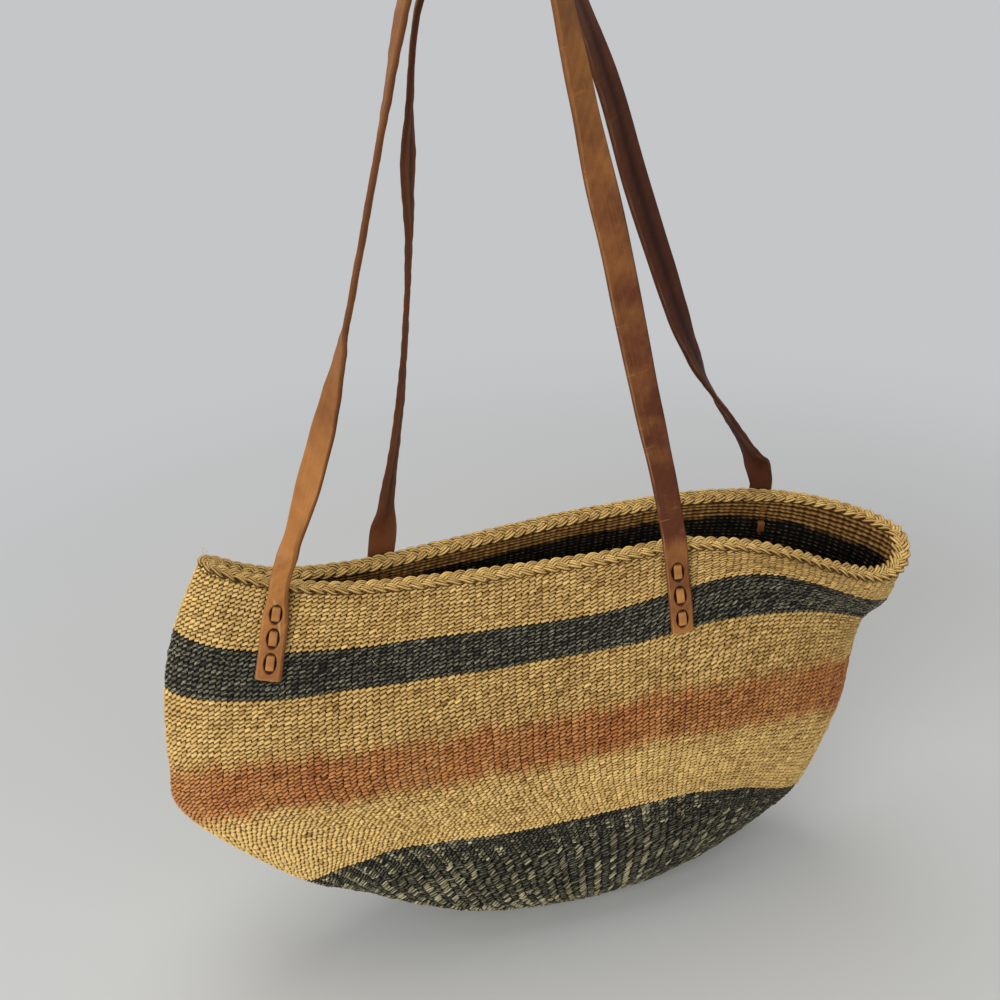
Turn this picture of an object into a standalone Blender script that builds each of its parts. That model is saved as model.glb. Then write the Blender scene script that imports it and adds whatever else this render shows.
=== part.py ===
"""A handwoven sisal basket bag with two long leather shoulder straps.

The woven wall is a soft oval shell, built as the runs of yarn that make its stripes, with a
plaited rim on top. Each strap end lies on the outside of the wall and is held by a leather lace
in a running stitch. The two strap loops fold outwards about the line where they pass the rim.
+X runs along the mouth, -Y is the front, +Z is up, and the bag stands on its base at z = 0.
"""
import bpy
import bmesh
from math import acos, cos, exp, pi, radians, sin, sqrt
from mathutils import Matrix, Vector

# Sizes of the woven body, in metres
BODY_LENGTH = 0.414
RIM_HEIGHT = 0.250
BODY_DEPTH = 0.096
WALL = 0.004
RIM_BRAID_WIDTH = 0.0076

# Clearances, in metres
PIECE_GAP = 0.0003
BAND_GAP = 0.0004
SEAT_GAP = 0.0005
BRAID_GAP = 0.0008
FOLD_CLEARANCE = 0.0004
CUT_OVERRUN = 0.003
RECESS_OVERRUN = 0.0005

# Sizes of the leather straps, in metres
STRAP_WIDTH = 0.0145
STRAP_END_WIDTH = 0.0125
STRAP_THICKNESS = 0.0029
STRAP_EDGE_CHAMFER = 0.0004
STRAP_END_LENGTH = 0.0505
STRAP_RISE = 0.304
FOLD_ABOVE_BRAID = 0.002
STRAP_SETTLES_DROP = 0.015
CROWN_SPACING = 0.0175
FOLD_ANGLE = radians(149)

# Sizes of the lacing, in metres
LACE_WIDTH = 0.0042
LACE_THICKNESS = 0.0014
LACE_EDGE_CHAMFER = 0.0003
LACE_BEND = 0.0009
LACE_TOP_TAIL = 0.0026
LACE_FOOT_TAIL = 0.006
LACE_HOLE_CLEARANCE = 0.0004
LACE_BACK_GAP = 0.0012
STITCH_LENGTH = 0.0095
STITCH_PITCH = 0.0138
FIRST_STITCH_DROP = 0.0138
STITCH_COUNT = 3
RECESS_WIDTH = 0.0066
RECESS_LENGTH = 0.0118
RECESS_DEPTH = 0.0008

# Mesh steps
RING_STEPS = 56
STRAP_STEPS = 68
RECESS_ARC_STEPS = 4
BASE_RINGS = 2
STRAP_END_STEPS = 9
ROUTE_STEPS = 12
ROUND_END_DEGREES = (35, 65, 85)
SMOOTH_BELOW_DEGREES = 50
TOP_BAND_STEPS = 5
CHARCOAL_BAND_STEPS = 5
WIDE_BAND_STEPS = 4
RUST_BAND_STEPS = 3
BASE_BAND_STEPS = 7

# The wall's level rows, from the rim down to the flat foot. Heights and lifts are shares of the
# rim's height, reaches are shares of the body's length from the origin, and depths and shifts are
# shares of the body's depth. Columns: height, left reach, right reach, left lift, right lift,
# front hump, front dip, front depth, back depth, right shift, gape, left round, right round.
ROW_SHARES = (
    (1.017, -0.435, 0.480, 0.100, -0.105, 0.060, -0.198, 0.354, 0.375, -0.146, 0.190, 0.015, 0.16),
    (0.897, -0.484, 0.472, 0.070, -0.165, 0.071, 0.015, 0.396, 0.385, -0.104, 0.320, 0.080, 0.24),
    (0.818, -0.511, 0.446, 0.015, -0.147, 0.013, 0.114, 0.417, 0.406, -0.042, 0.600, 0.200, 0.34),
    (0.686, -0.532, 0.442, -0.059, -0.121, 0.000, 0.000, 0.448, 0.448, 0.000, 1.000, 0.400, 0.42),
    (0.569, -0.527, 0.429, -0.097, -0.162, 0.000, 0.000, 0.490, 0.490, 0.000, 1.000, 0.420, 0.42),
    (0.386, -0.397, 0.375, -0.185, -0.211, 0.000, 0.000, 0.491, 0.500, 0.000, 1.000, 0.440, 0.42),
    (0.127, -0.297, 0.301, 0.006, -0.019, 0.000, 0.000, 0.438, 0.448, 0.000, 1.000, 0.460, 0.46),
    (0.000, -0.155, 0.181, 0.000, 0.000, 0.000, 0.000, 0.250, 0.250, 0.000, 1.000, 0.500, 0.50),
)
RIM_ROW = 0
CHARCOAL_TOP_ROW = 1
CHARCOAL_FOOT_ROW = 2
RUST_TOP_ROW = 3
RUST_FOOT_ROW = 4
BASE_TOP_ROW = 5
FOOT_ROW = 7

# Shares of the body's length that shape every row
LEFT_LIFT_SHARE = 0.30
RIGHT_LIFT_SHARE = 0.378
LEFT_LIFT_CURVE = 2.85
RIGHT_LIFT_CURVE = 2.07
HUMP_PLACE_SHARE = 0.76
HUMP_WIDTH_SHARE = 0.152
BACK_SINK_SHARE = 0.0169
BACK_SINK_SLOPE_SHARE = 0.0052
BACK_SINK_ROWS = 2.0
BACK_SINK_BLEND = 2.0
GAPE_END_SHARE = 0.80
GAPE_CURVE = 1.35
SLOPE_STEP_SHARE = 0.001
EDGE_STRIP_ROW_SHARE = 0.024
WALK_STEP_ROW_SHARE = 0.02

# Places of the strap ends along the mouth, as shares of the body's length from the origin
TAB_PLACE_SHARES = {
    "front_left": -0.348,
    "front_right": 0.132,
    "back_left": -0.217,
    "back_right": 0.320,
}

# How far each strap end leans to the right for each unit of its length
TAB_LEAN_SHARES = {
    "front_left": -0.27,
    "front_right": 0.06,
    "back_left": -0.18,
    "back_right": -0.05,
}

# Each leg of a strap from its fold to the crown: share of the rise, share of the way across
LEG_SHARES = {
    "front_left": (
        (0.0, 0.0), (0.098, 0.109), (0.231, 0.247), (0.355, 0.363), (0.472, 0.459),
        (0.582, 0.546), (0.711, 0.646), (0.831, 0.738), (0.94, 0.852), (1.0, 1.0)),
    "front_right": (
        (0.0, 0.0), (0.105, 0.066), (0.246, 0.174), (0.376, 0.263), (0.496, 0.343),
        (0.609, 0.432), (0.766, 0.543), (0.86, 0.620), (0.95, 0.775), (1.0, 1.0)),
    "back_left": (
        (0.0, 0.0), (0.089, 0.069), (0.24, 0.205), (0.381, 0.302), (0.542, 0.387),
        (0.662, 0.425), (0.80, 0.498), (0.88, 0.575), (0.957, 0.745), (1.0, 1.0)),
    "back_right": (
        (0.0, 0.0), (0.05, 0.036), (0.14, 0.151), (0.23, 0.269), (0.33, 0.367),
        (0.46, 0.468), (0.60, 0.573), (0.76, 0.683), (0.93, 0.845), (1.0, 1.0)),
}

# Twist of each leg in degrees from the flat lie of the crown, against the share of the rise
LEG_TWISTS = {
    "front_left": (
        (0.0, -90), (0.07, -33), (0.12, -36), (0.18, -44), (0.24, -38), (0.295, -26),
        (0.355, -7), (0.42, 11), (0.64, 11), (0.72, 3), (0.82, -5), (1.0, 0)),
    "front_right": (
        (0.0, -90), (0.55, -88), (0.70, -60), (0.85, -45), (0.95, -18), (1.0, 0)),
    "back_left": (
        (0.0, 90), (0.09, 36), (0.17, 16), (0.24, 12), (0.38, 7), (0.46, 7), (0.54, 14),
        (0.60, 21), (0.662, 30), (0.745, 13), (0.82, 9), (1.0, 0)),
    "back_right": (
        (0.0, 90), (0.045, 40), (0.14, 30), (0.23, 22), (0.31, -14), (0.39, -53),
        (0.45, -68), (0.58, -68), (0.72, -36), (0.82, -30), (1.0, 0)),
}

# Share of the rise over which each leg widens from its end's width to the full width
LEG_WIDENS_SHARES = {
    "front_left": 0.16,
    "front_right": 0.42,
    "back_left": 0.20,
    "back_right": 0.16,
}
CROWN_PLACE_SHARES = {"front": -0.053, "back": -0.024}
END_BLEND_SHARE = 0.07
WAIST_PLACE_SHARE = 0.06
WAIST_DEPTH_SHARE = 0.08

COLLECTION_NAME = "kiondo_basket"
CUTTER_COLLECTION_NAME = "cutters"


def clear_scene():
    for thing in list(bpy.data.objects):
        bpy.data.objects.remove(thing, do_unlink=True)


def new_collection(name):
    collection = bpy.data.collections.new(name)
    bpy.context.scene.collection.children.link(collection)
    return collection


def make_material(name, colour, roughness):
    material = bpy.data.materials.new(name)
    material.use_nodes = True
    shader = material.node_tree.nodes["Principled BSDF"]
    shader.inputs["Base Color"].default_value = (*colour, 1.0)
    shader.inputs["Roughness"].default_value = roughness
    shader.inputs["Metallic"].default_value = 0.0
    material.diffuse_color = (*colour, 1.0)
    return material


def clamp_share(value):
    return min(max(value, 0.0), 1.0)


def ease(share):
    share = clamp_share(share)
    return share * share * (3 - 2 * share)


def smooth_between(before, start, end, after, share):
    """One value on a smooth curve that passes through start and end."""
    linear = (end - before) * share
    square = (2 * before - 5 * start + 4 * end - after) * share ** 2
    cube = (3 * start - before - 3 * end + after) * share ** 3
    return (2 * start + linear + square + cube) / 2


def row_values(row):
    """The row's shares, read smoothly between the rows of the table."""
    row = min(max(row, 0.0), float(FOOT_ROW))
    index = min(int(row), FOOT_ROW - 1)
    start, end = ROW_SHARES[index], ROW_SHARES[index + 1]
    if index > 0:
        before = ROW_SHARES[index - 1]
    else:
        before = [2 * a - b for a, b in zip(start, end)]
    if index + 2 <= FOOT_ROW:
        after = ROW_SHARES[index + 2]
    else:
        after = [2 * b - a for a, b in zip(start, end)]
    values = zip(before, start, end, after)
    return [smooth_between(*four, row - index) for four in values]


def wall_point(row, turn):
    """A point of the wall's outer face. Turn 0 is the left end, 0.25 the front, 0.5 the right."""
    (height, left, right, left_lift, right_lift, hump, dip, front, back, shift, gape,
     left_round, right_round) = row_values(row)
    angle = 2 * pi * turn
    along = (1 - cos(angle)) / 2
    left_end = sqrt(1 - max(0.0, 1 - along / left_round) ** 2)
    right_end = sqrt(1 - max(0.0, 1 - (1 - along) / right_round) ** 2)
    opening = 1 - max(0.0, 1 - along / GAPE_END_SHARE) ** GAPE_CURVE
    half = left_end * right_end * (gape + (1 - gape) * opening)
    right_part = max(0.0, 1 - (1 - along) / RIGHT_LIFT_SHARE)
    level = height + left_lift * max(0.0, 1 - along / LEFT_LIFT_SHARE) ** LEFT_LIFT_CURVE
    level += right_lift * right_part ** RIGHT_LIFT_CURVE
    if sin(angle) > 0:
        depth = -front * half
        from_hump = (along - HUMP_PLACE_SHARE) / HUMP_WIDTH_SHARE
        level += hump * exp(-from_hump ** 2) * left_end * right_end
        level += dip * right_part * sin(angle)
    else:
        depth = back * half
        sink = BACK_SINK_SHARE - BACK_SINK_SLOPE_SHARE * (2 * along - 1)
        sink *= min(1.0, -BACK_SINK_BLEND * sin(angle)) * max(0.0, 1 - row / BACK_SINK_ROWS)
        level -= sink
    depth += shift * max(0.0, 2 * along - 1)
    x = (left + (right - left) * along) * BODY_LENGTH
    return Vector((x, depth * BODY_DEPTH, level * RIM_HEIGHT))


def wall_frame(row, turn):
    """The outer point with its outward normal, its way round the ring and its way down."""
    place = wall_point(row, turn)
    around = wall_point(row, turn + SLOPE_STEP_SHARE) - wall_point(row, turn - SLOPE_STEP_SHARE)
    upper = max(row - SLOPE_STEP_SHARE, 0.0)
    down = wall_point(upper + 2 * SLOPE_STEP_SHARE, turn) - wall_point(upper, turn)
    around.normalize()
    down.normalize()
    outward = down.cross(around)
    outward.normalize()
    return place, outward, around, down


def turn_at(row, x, side):
    """The turn at which a row's front or back passes a place along the mouth."""
    left, right = row_values(row)[1:3]
    along = clamp_share((x / BODY_LENGTH - left) / (right - left))
    turn = acos(1 - 2 * along) / (2 * pi)
    return turn if side == "front" else 1 - turn


def tab_place(tab, drop):
    """The row and turn under a strap end's middle line, this far down the wall from the rim."""
    side = tab.split("_")[0]
    start = TAB_PLACE_SHARES[tab] * BODY_LENGTH
    row = 0.0
    walked = 0.0
    turn = turn_at(row, start, side)
    last = wall_point(row, turn)
    while walked < drop:
        row += WALK_STEP_ROW_SHARE
        turn = turn_at(row, start + TAB_LEAN_SHARES[tab] * walked, side)
        place = wall_point(row, turn)
        stride = (place - last).length
        walked += stride
        last = place
    if walked > drop:
        row -= WALK_STEP_ROW_SHARE * (walked - drop) / stride
        turn = turn_at(row, start + TAB_LEAN_SHARES[tab] * drop, side)
    return row, turn


def mesh_object(name, vertices, faces, collection, material):
    mesh = bpy.data.meshes.new(name)
    mesh.from_pydata([tuple(v) for v in vertices], [], faces)
    mesh.update()
    thing = bpy.data.objects.new(name, mesh)
    collection.objects.link(thing)
    if material:
        mesh.materials.append(material)
    return thing


def shade_round(thing, sharp_degrees):
    thing.data.shade_smooth()
    thing.data.set_sharp_from_angle(angle=radians(sharp_degrees))


def ring_places(row, drop):
    """A ring of wall points on a row, moved down the wall by drop."""
    places = []
    for step in range(RING_STEPS):
        place, _, _, down = wall_frame(row, step / RING_STEPS)
        places.append(place + down * drop)
    return places


def band_shares(steps, rows):
    """Shares down a band, with a narrow strip at each edge so that neighbours meet square."""
    edge = EDGE_STRIP_ROW_SHARE / rows
    middle = [edge + (1 - 2 * edge) * step / (steps - 2) for step in range(steps - 1)]
    return [0.0] + middle + [1.0]


def build_band(name, top_row, foot_row, steps, top_drop, collection, material, closed_foot=False):
    """A run of one yarn: a strip of the wall between two rows, thickened inwards."""
    foot_drop = 0.0 if closed_foot else -BAND_GAP / 2
    rings = []
    for share in band_shares(steps, foot_row - top_row):
        drop = top_drop * (1 - share) ** 2 if share < 1 else foot_drop
        rings.append(ring_places(top_row + (foot_row - top_row) * share, drop))
    if closed_foot:
        centre = sum(rings[-1], Vector()) / RING_STEPS
        foot = rings[-1]
        for ring in range(1, BASE_RINGS):
            share = 1 - ring / BASE_RINGS
            rings.append([centre + (place - centre) * share for place in foot])
    vertices = [place for ring in rings for place in ring]
    faces = []
    for ring in range(len(rings) - 1):
        for step in range(RING_STEPS):
            after = (step + 1) % RING_STEPS
            upper, lower = ring * RING_STEPS, (ring + 1) * RING_STEPS
            faces.append((upper + step, lower + step, lower + after, upper + after))
    if closed_foot:
        vertices.append(centre)
        inner = (len(rings) - 1) * RING_STEPS
        for step in range(RING_STEPS):
            after = (step + 1) % RING_STEPS
            faces.append((inner + step, len(vertices) - 1, inner + after))
    band = mesh_object(name, vertices, faces, collection, material)
    shell = band.modifiers.new("wall", "SOLIDIFY")
    shell.thickness = WALL
    shell.offset = -1.0
    shell.use_even_offset = True
    shell.use_quality_normals = True
    shade_round(band, SMOOTH_BELOW_DEGREES)
    return band


def build_rim_braid(collection, material):
    """The plaited edge, a closed tube on the middle of the wall's top."""
    curve = bpy.data.curves.new("rim_braid", "CURVE")
    curve.dimensions = "3D"
    curve.bevel_depth = RIM_BRAID_WIDTH / 2
    curve.bevel_resolution = 2
    spline = curve.splines.new("POLY")
    spline.points.add(RING_STEPS - 1)
    for step, point in enumerate(spline.points):
        place, outward, _, _ = wall_frame(RIM_ROW, step / RING_STEPS)
        point.co = (*(place - outward * WALL / 2), 1.0)
    spline.use_cyclic_u = True
    curve.materials.append(material)
    braid = bpy.data.objects.new("rim_braid", curve)
    collection.objects.link(braid)
    return braid


def flatten_faces(thing):
    """Splits a skin's bent faces into flat ones and turns them all outwards."""
    shape = bmesh.new()
    shape.from_mesh(thing.data)
    bmesh.ops.recalc_face_normals(shape, faces=shape.faces)
    bmesh.ops.triangulate(shape, faces=shape.faces)
    shape.to_mesh(thing.data)
    shape.free()


def section_corners(centre, across, outward, half_width, half_thickness, chamfer):
    """The eight corners of a flat strip's section with its edges taken off."""
    chamfer = min(chamfer, half_width / 2, half_thickness / 2)
    inner_width = half_width - chamfer
    inner_thickness = half_thickness - chamfer
    corners = (
        (inner_width, half_thickness), (half_width, inner_thickness),
        (half_width, -inner_thickness), (inner_width, -half_thickness),
        (-inner_width, -half_thickness), (-half_width, -inner_thickness),
        (-half_width, inner_thickness), (-inner_width, half_thickness))
    return [centre + across * a + outward * b for a, b in corners]


def loft(name, sections, collection, material):
    """A closed skin through a row of sections with the same number of corners."""
    count = len(sections[0])
    vertices = [corner for section in sections for corner in section]
    faces = [tuple(range(count))]
    for ring in range(len(sections) - 1):
        for corner in range(count):
            after = (corner + 1) % count
            upper, lower = ring * count, (ring + 1) * count
            faces.append((upper + after, upper + corner, lower + corner, lower + after))
    last = (len(sections) - 1) * count
    faces.append(tuple(last + corner for corner in reversed(range(count))))
    thing = mesh_object(name, vertices, faces, collection, material)
    flatten_faces(thing)
    return thing


def strap_offset(drop):
    """How far the strap's middle stands off the wall, higher where it passes the braid."""
    on_wall = SEAT_GAP + STRAP_THICKNESS / 2
    on_braid = RIM_BRAID_WIDTH / 2 - WALL / 2 + BRAID_GAP + STRAP_THICKNESS / 2
    return on_wall + (on_braid - on_wall) * ease(2 - drop / (RIM_BRAID_WIDTH / 2))


def tab_way(tab, drop):
    """The direction in which a strap end runs down the wall."""
    upper = max(drop - STRAP_THICKNESS, 0.0)
    lower = upper + 2 * STRAP_THICKNESS
    return (wall_point(*tab_place(tab, lower)) - wall_point(*tab_place(tab, upper))).normalized()


def fold_place(tab):
    """Where a strap folds: outside the braid and a little above it."""
    place, outward, _, _ = wall_frame(*tab_place(tab, 0.0))
    rise = RIM_BRAID_WIDTH / 2 + FOLD_ABOVE_BRAID
    return place + outward * strap_offset(0.0) - tab_way(tab, 0.0) * rise


def fold_axis(side):
    """The fold's start and direction, chosen so that a positive turn goes outwards."""
    left, right = fold_place(side + "_left"), fold_place(side + "_right")
    start, end = (left, right) if side == "front" else (right, left)
    return start, (end - start).normalized()


def tab_frame(tab, drop):
    """The strap end's middle, its direction across, its outward normal and its way down."""
    row, turn = tab_place(tab, max(drop, 0.0))
    place, outward, _, _ = wall_frame(row, turn)
    down = tab_way(tab, max(drop, 0.0))
    across = outward.cross(down).normalized()
    if across.x < 0:
        across.negate()
    turn_step = SLOPE_STEP_SHARE / (wall_point(row, turn + SLOPE_STEP_SHARE) - place).length
    sag = 0.0
    for share in (-1.0, -0.5, 0.5, 1.0):
        near = wall_point(row, turn + share * STRAP_END_WIDTH / 2 * turn_step)
        sag = max(sag, (near - place).dot(outward))
    middle = place + outward * (strap_offset(drop) + sag)
    return middle, across, outward, down


def build_strap_end(tab, collection, material):
    """The flat end of a strap, from its fold down the outside of the wall."""
    side = tab.split("_")[0]
    axis = fold_axis(side)[1]
    axis = axis if axis.x > 0 else -axis
    fold = fold_place(tab)
    _, _, outward, down = tab_frame(tab, 0.0)
    fold_outward = (outward - axis * outward.dot(axis)).normalized()
    fold_down = axis.cross(fold_outward)
    if fold_down.z > 0:
        fold_down.negate()
    half = STRAP_THICKNESS / 2
    inner_drop = half + FOLD_CLEARANCE
    outer_drop = (half + FOLD_CLEARANCE - half * cos(FOLD_ANGLE)) / sin(FOLD_ANGLE)
    lean = (down - fold_down * down.dot(fold_down)).dot(axis) / down.dot(fold_down)
    sections = []
    top = []
    edge = section_corners(fold, axis, fold_outward, STRAP_END_WIDTH / 2, half, STRAP_EDGE_CHAMFER)
    for corner in edge:
        share = clamp_share((corner - fold).dot(fold_outward) / STRAP_THICKNESS + 1 / 2)
        drop = inner_drop + (outer_drop - inner_drop) * share
        top.append(corner + (fold_down + axis * lean) * drop)
    sections.append(top)
    above_rim = RIM_BRAID_WIDTH / 2 + FOLD_ABOVE_BRAID
    first = max(outer_drop + half - above_rim, 0.0)
    for step in range(STRAP_END_STEPS + 1):
        drop = first + (STRAP_END_LENGTH - first) * step / STRAP_END_STEPS
        middle, across, outward, _ = tab_frame(tab, drop)
        blend = ease(drop / STRAP_SETTLES_DROP)
        across = (axis * (1 - blend) + across * blend).normalized()
        sections.append(section_corners(
            middle, across, outward, STRAP_END_WIDTH / 2, half, STRAP_EDGE_CHAMFER))
    return loft(tab + "_strap_end", sections, collection, material)


def stitch_holes():
    """The drops of the lace holes, in pairs, one pair for each visible stitch."""
    pairs = []
    for stitch in range(STITCH_COUNT):
        middle = FIRST_STITCH_DROP + stitch * STITCH_PITCH
        pairs.append((middle - STITCH_LENGTH / 2, middle + STITCH_LENGTH / 2))
    return pairs


def lace_levels():
    """Heights above the strap's middle plane of the lace's outer and inner runs."""
    outer = STRAP_THICKNESS / 2 - RECESS_DEPTH + PIECE_GAP + LACE_THICKNESS / 2
    inner = -STRAP_THICKNESS / 2 - SEAT_GAP - WALL - LACE_BACK_GAP - LACE_THICKNESS / 2
    return outer, inner


def build_slot_cutter(tab, collection):
    """One box for each lace hole, through the strap end and the wall behind it."""
    vertices, faces = [], []
    outer, inner = lace_levels()
    half_width = LACE_WIDTH / 2 + LACE_HOLE_CLEARANCE
    half_height = LACE_THICKNESS / 2 + LACE_HOLE_CLEARANCE
    for drop in [hole for pair in stitch_holes() for hole in pair]:
        middle, across, outward, _ = tab_frame(tab, drop)
        along = outward.cross(across).normalized()
        first = len(vertices)
        for level in (outer + CUT_OVERRUN, inner - CUT_OVERRUN):
            for a, b in ((-1, -1), (1, -1), (1, 1), (-1, 1)):
                corner = middle + across * a * half_width + along * b * half_height
                vertices.append(corner + outward * level)
        box = ((0, 1, 2, 3), (7, 6, 5, 4), (0, 4, 5, 1), (1, 5, 6, 2), (2, 6, 7, 3), (3, 7, 4, 0))
        faces += [tuple(first + corner for corner in face) for face in box]
    return finish_cutter(tab + "_slot_cutter", vertices, faces, collection)


def build_recess_cutter(tab, collection):
    """The oval dents that the pulled lace leaves in the strap end."""
    vertices, faces = [], []
    straight = RECESS_LENGTH / 2 - RECESS_WIDTH / 2
    outline = []
    for end in (1, -1):
        for step in range(RECESS_ARC_STEPS + 1):
            angle = pi * step / RECESS_ARC_STEPS
            across = cos(angle) * RECESS_WIDTH / 2 * end
            outline.append((across, (straight + sin(angle) * RECESS_WIDTH / 2) * end))
    count = len(outline)
    for stitch in range(STITCH_COUNT):
        drop = FIRST_STITCH_DROP + stitch * STITCH_PITCH
        middle, across, outward, _ = tab_frame(tab, drop)
        along = outward.cross(across).normalized()
        floor = STRAP_THICKNESS / 2 - RECESS_DEPTH
        first = len(vertices)
        for level in (floor, floor + RECESS_DEPTH + RECESS_OVERRUN):
            for a, b in outline:
                vertices.append(middle + outward * level + across * a + along * b)
        faces.append(tuple(first + corner for corner in range(count)))
        faces.append(tuple(first + count + corner for corner in reversed(range(count))))
        for corner in range(count):
            after = (corner + 1) % count
            upper, lower = first + count, first
            faces.append((lower + corner, upper + corner, upper + after, lower + after))
    return finish_cutter(tab + "_recess_cutter", vertices, faces, collection)


def finish_cutter(name, vertices, faces, collection):
    cutter = mesh_object(name, vertices, faces, collection, None)
    flatten_faces(cutter)
    cutter.hide_render = True
    cutter.display_type = "WIRE"
    return cutter


def cut(thing, cutter):
    modifier = thing.modifiers.new(cutter.name, "BOOLEAN")
    modifier.operation = "DIFFERENCE"
    modifier.solver = "EXACT"
    modifier.object = cutter


def build_lace(tab, collection, material):
    """A flat leather lace that runs out and in through the strap end and the wall."""
    outer, inner = lace_levels()
    holes = [hole for pair in stitch_holes() for hole in pair]
    route = [(holes[0] - LACE_TOP_TAIL, inner)]
    level = inner
    for hole in holes:
        route.append((hole, level))
        level = outer if level == inner else inner
        route.append((hole, level))
    route.append((holes[-1] + LACE_FOOT_TAIL, inner))
    places = []
    for drop, level in route:
        middle, _, outward, _ = tab_frame(tab, drop)
        places.append(middle + outward * level)
    rounded = [places[0]]
    for before, corner, after in zip(places, places[1:], places[2:]):
        rounded.append(corner + (before - corner).normalized() * LACE_BEND)
        rounded.append(corner + (after - corner).normalized() * LACE_BEND)
    rounded.append(places[-1])
    across = tab_frame(tab, FIRST_STITCH_DROP + STITCH_PITCH)[1]
    sections = []
    for index, place in enumerate(rounded):
        before = rounded[max(index - 1, 0)]
        after = rounded[min(index + 1, len(rounded) - 1)]
        into = (place - before).normalized() if index else (after - place).normalized()
        out = (after - place).normalized() if index < len(rounded) - 1 else into
        along = (into + out).normalized()
        thick = LACE_THICKNESS / 2 / max(along.dot(into), 1 / 2)
        side = (across - along * across.dot(along)).normalized()
        face = along.cross(side)
        sections.append(section_corners(
            place, side, face, LACE_WIDTH / 2, thick, LACE_EDGE_CHAMFER))
    return loft(tab + "_lace", sections, collection, material)


def read_table(table, share):
    """A value read along a table of (share, value) pairs, eased between them."""
    for (start, low), (end, high) in zip(table, table[1:]):
        if share <= end:
            return low + (high - low) * ease((share - start) / (end - start))
    return table[-1][1]


def leg_place(tab, crown, index):
    """A point of a leg's route, from the leg's own table of shares."""
    fold = fold_place(tab)
    rise, over = LEG_SHARES[tab][index]
    lean = (ease(rise) + rise) / 2
    return Vector((
        fold.x + (crown.x - fold.x) * over,
        fold.y + (crown.y - fold.y) * lean,
        fold.z + (crown.z - fold.z) * rise))


def smooth_route(points, steps):
    """Evenly spaced points and shares on a smooth curve through the given points."""
    fine = []
    for index in range(len(points) - 1):
        start, end = points[index], points[index + 1]
        before = points[index - 1] if index else start * 2 - end
        after = points[index + 2] if index + 2 < len(points) else end * 2 - start
        for step in range(ROUTE_STEPS):
            fine.append(smooth_between(before, start, end, after, step / ROUTE_STEPS))
    fine.append(points[-1])
    walked = [0.0]
    for start, end in zip(fine, fine[1:]):
        walked.append(walked[-1] + (end - start).length)
    route = []
    index = 0
    for step in range(steps + 1):
        goal = walked[-1] * step / steps
        while index < len(fine) - 2 and walked[index + 1] < goal:
            index += 1
        share = (goal - walked[index]) / (walked[index + 1] - walked[index])
        route.append(fine[index].lerp(fine[index + 1], clamp_share(share)))
    return route


def strap_half_width(tab, share):
    """Half the strap's width at a share of its rise: narrowest just above the fold."""
    from_waist = (share - WAIST_PLACE_SHARE) / WAIST_PLACE_SHARE
    waist = 1 - WAIST_DEPTH_SHARE * exp(-from_waist ** 2)
    wide = STRAP_END_WIDTH + (STRAP_WIDTH - STRAP_END_WIDTH) * ease(share / LEG_WIDENS_SHARES[tab])
    return wide / 2 * waist


def build_handle(side, collection, material):
    """One long strap between its two folds, twisting so that the crown lies flat in the hand."""
    left, right = side + "_left", side + "_right"
    start, axis = fold_axis(side)
    level_axis = axis if axis.x > 0 else -axis
    folds = (fold_place(left) + fold_place(right)) / 2
    outward_sign = -1 if side == "front" else 1
    depth_way = Vector((0, 1, 0))
    fold_outward = (depth_way - axis * axis.y).normalized() * outward_sign
    crown = Vector((
        CROWN_PLACE_SHARES[side] * BODY_LENGTH,
        outward_sign * CROWN_SPACING / 2,
        folds.z + STRAP_RISE))
    count = len(LEG_SHARES[left])
    points = [leg_place(left, crown, index) for index in range(count)]
    points += [leg_place(right, crown, index) for index in reversed(range(count - 1))]
    route = smooth_route(points, STRAP_STEPS)
    half = STRAP_THICKNESS / 2
    sections = []
    for index, place in enumerate(route):
        before, after = route[max(index - 1, 0)], route[min(index + 1, STRAP_STEPS)]
        tangent = (after - before).normalized()
        on_left = index <= STRAP_STEPS / 2
        tab = left if on_left else right
        fold = fold_place(tab)
        rise = clamp_share((place.z - fold.z) / (crown.z - fold.z))
        rise = 1.0 if abs(index - STRAP_STEPS / 2) < 1 else rise
        twist = radians(read_table(LEG_TWISTS[tab], rise))
        flat = tangent.cross(depth_way).normalized()
        cross = flat.cross(tangent).normalized()
        cross = cross if cross.y > 0 else -cross
        across = cross * cos(twist) - flat * sin(twist)
        outward = flat * cos(twist) + cross * sin(twist)
        blend = ease(rise / END_BLEND_SHARE)
        if blend < 1:
            across = (level_axis * (1 if across.x > 0 else -1)).lerp(across, blend).normalized()
            outward = fold_outward.lerp(outward, blend).normalized()
        sections.append(section_corners(
            place, across, outward, strap_half_width(tab, rise), half, STRAP_EDGE_CHAMFER))
        if index in (0, STRAP_STEPS):
            ends = rounded_end(tab, place, across, fold_outward, axis)
            if index == 0:
                sections = ends[::-1] + sections
            else:
                sections += ends
    handle = loft(side + "_handle", sections, collection, material)
    pivot = bpy.data.objects.new(side + "_fold_axis", None)
    collection.objects.link(pivot)
    pivot.location = start
    handle.data.transform(Matrix.Translation(-start))
    handle.parent = pivot
    return handle


def rounded_end(tab, place, across, outward, axis):
    """The half round that closes a loop's leg, turned about the fold's axis."""
    down = axis.cross(outward)
    down = down if down.z < 0 else -down
    half = STRAP_THICKNESS / 2
    ends = []
    for degrees in ROUND_END_DEGREES:
        angle = radians(degrees)
        centre = place + down * half * sin(angle)
        thick = half * cos(angle)
        ends.append(section_corners(
            centre, across, outward, strap_half_width(tab, 0.0), thick, STRAP_EDGE_CHAMFER))
    return ends


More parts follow.
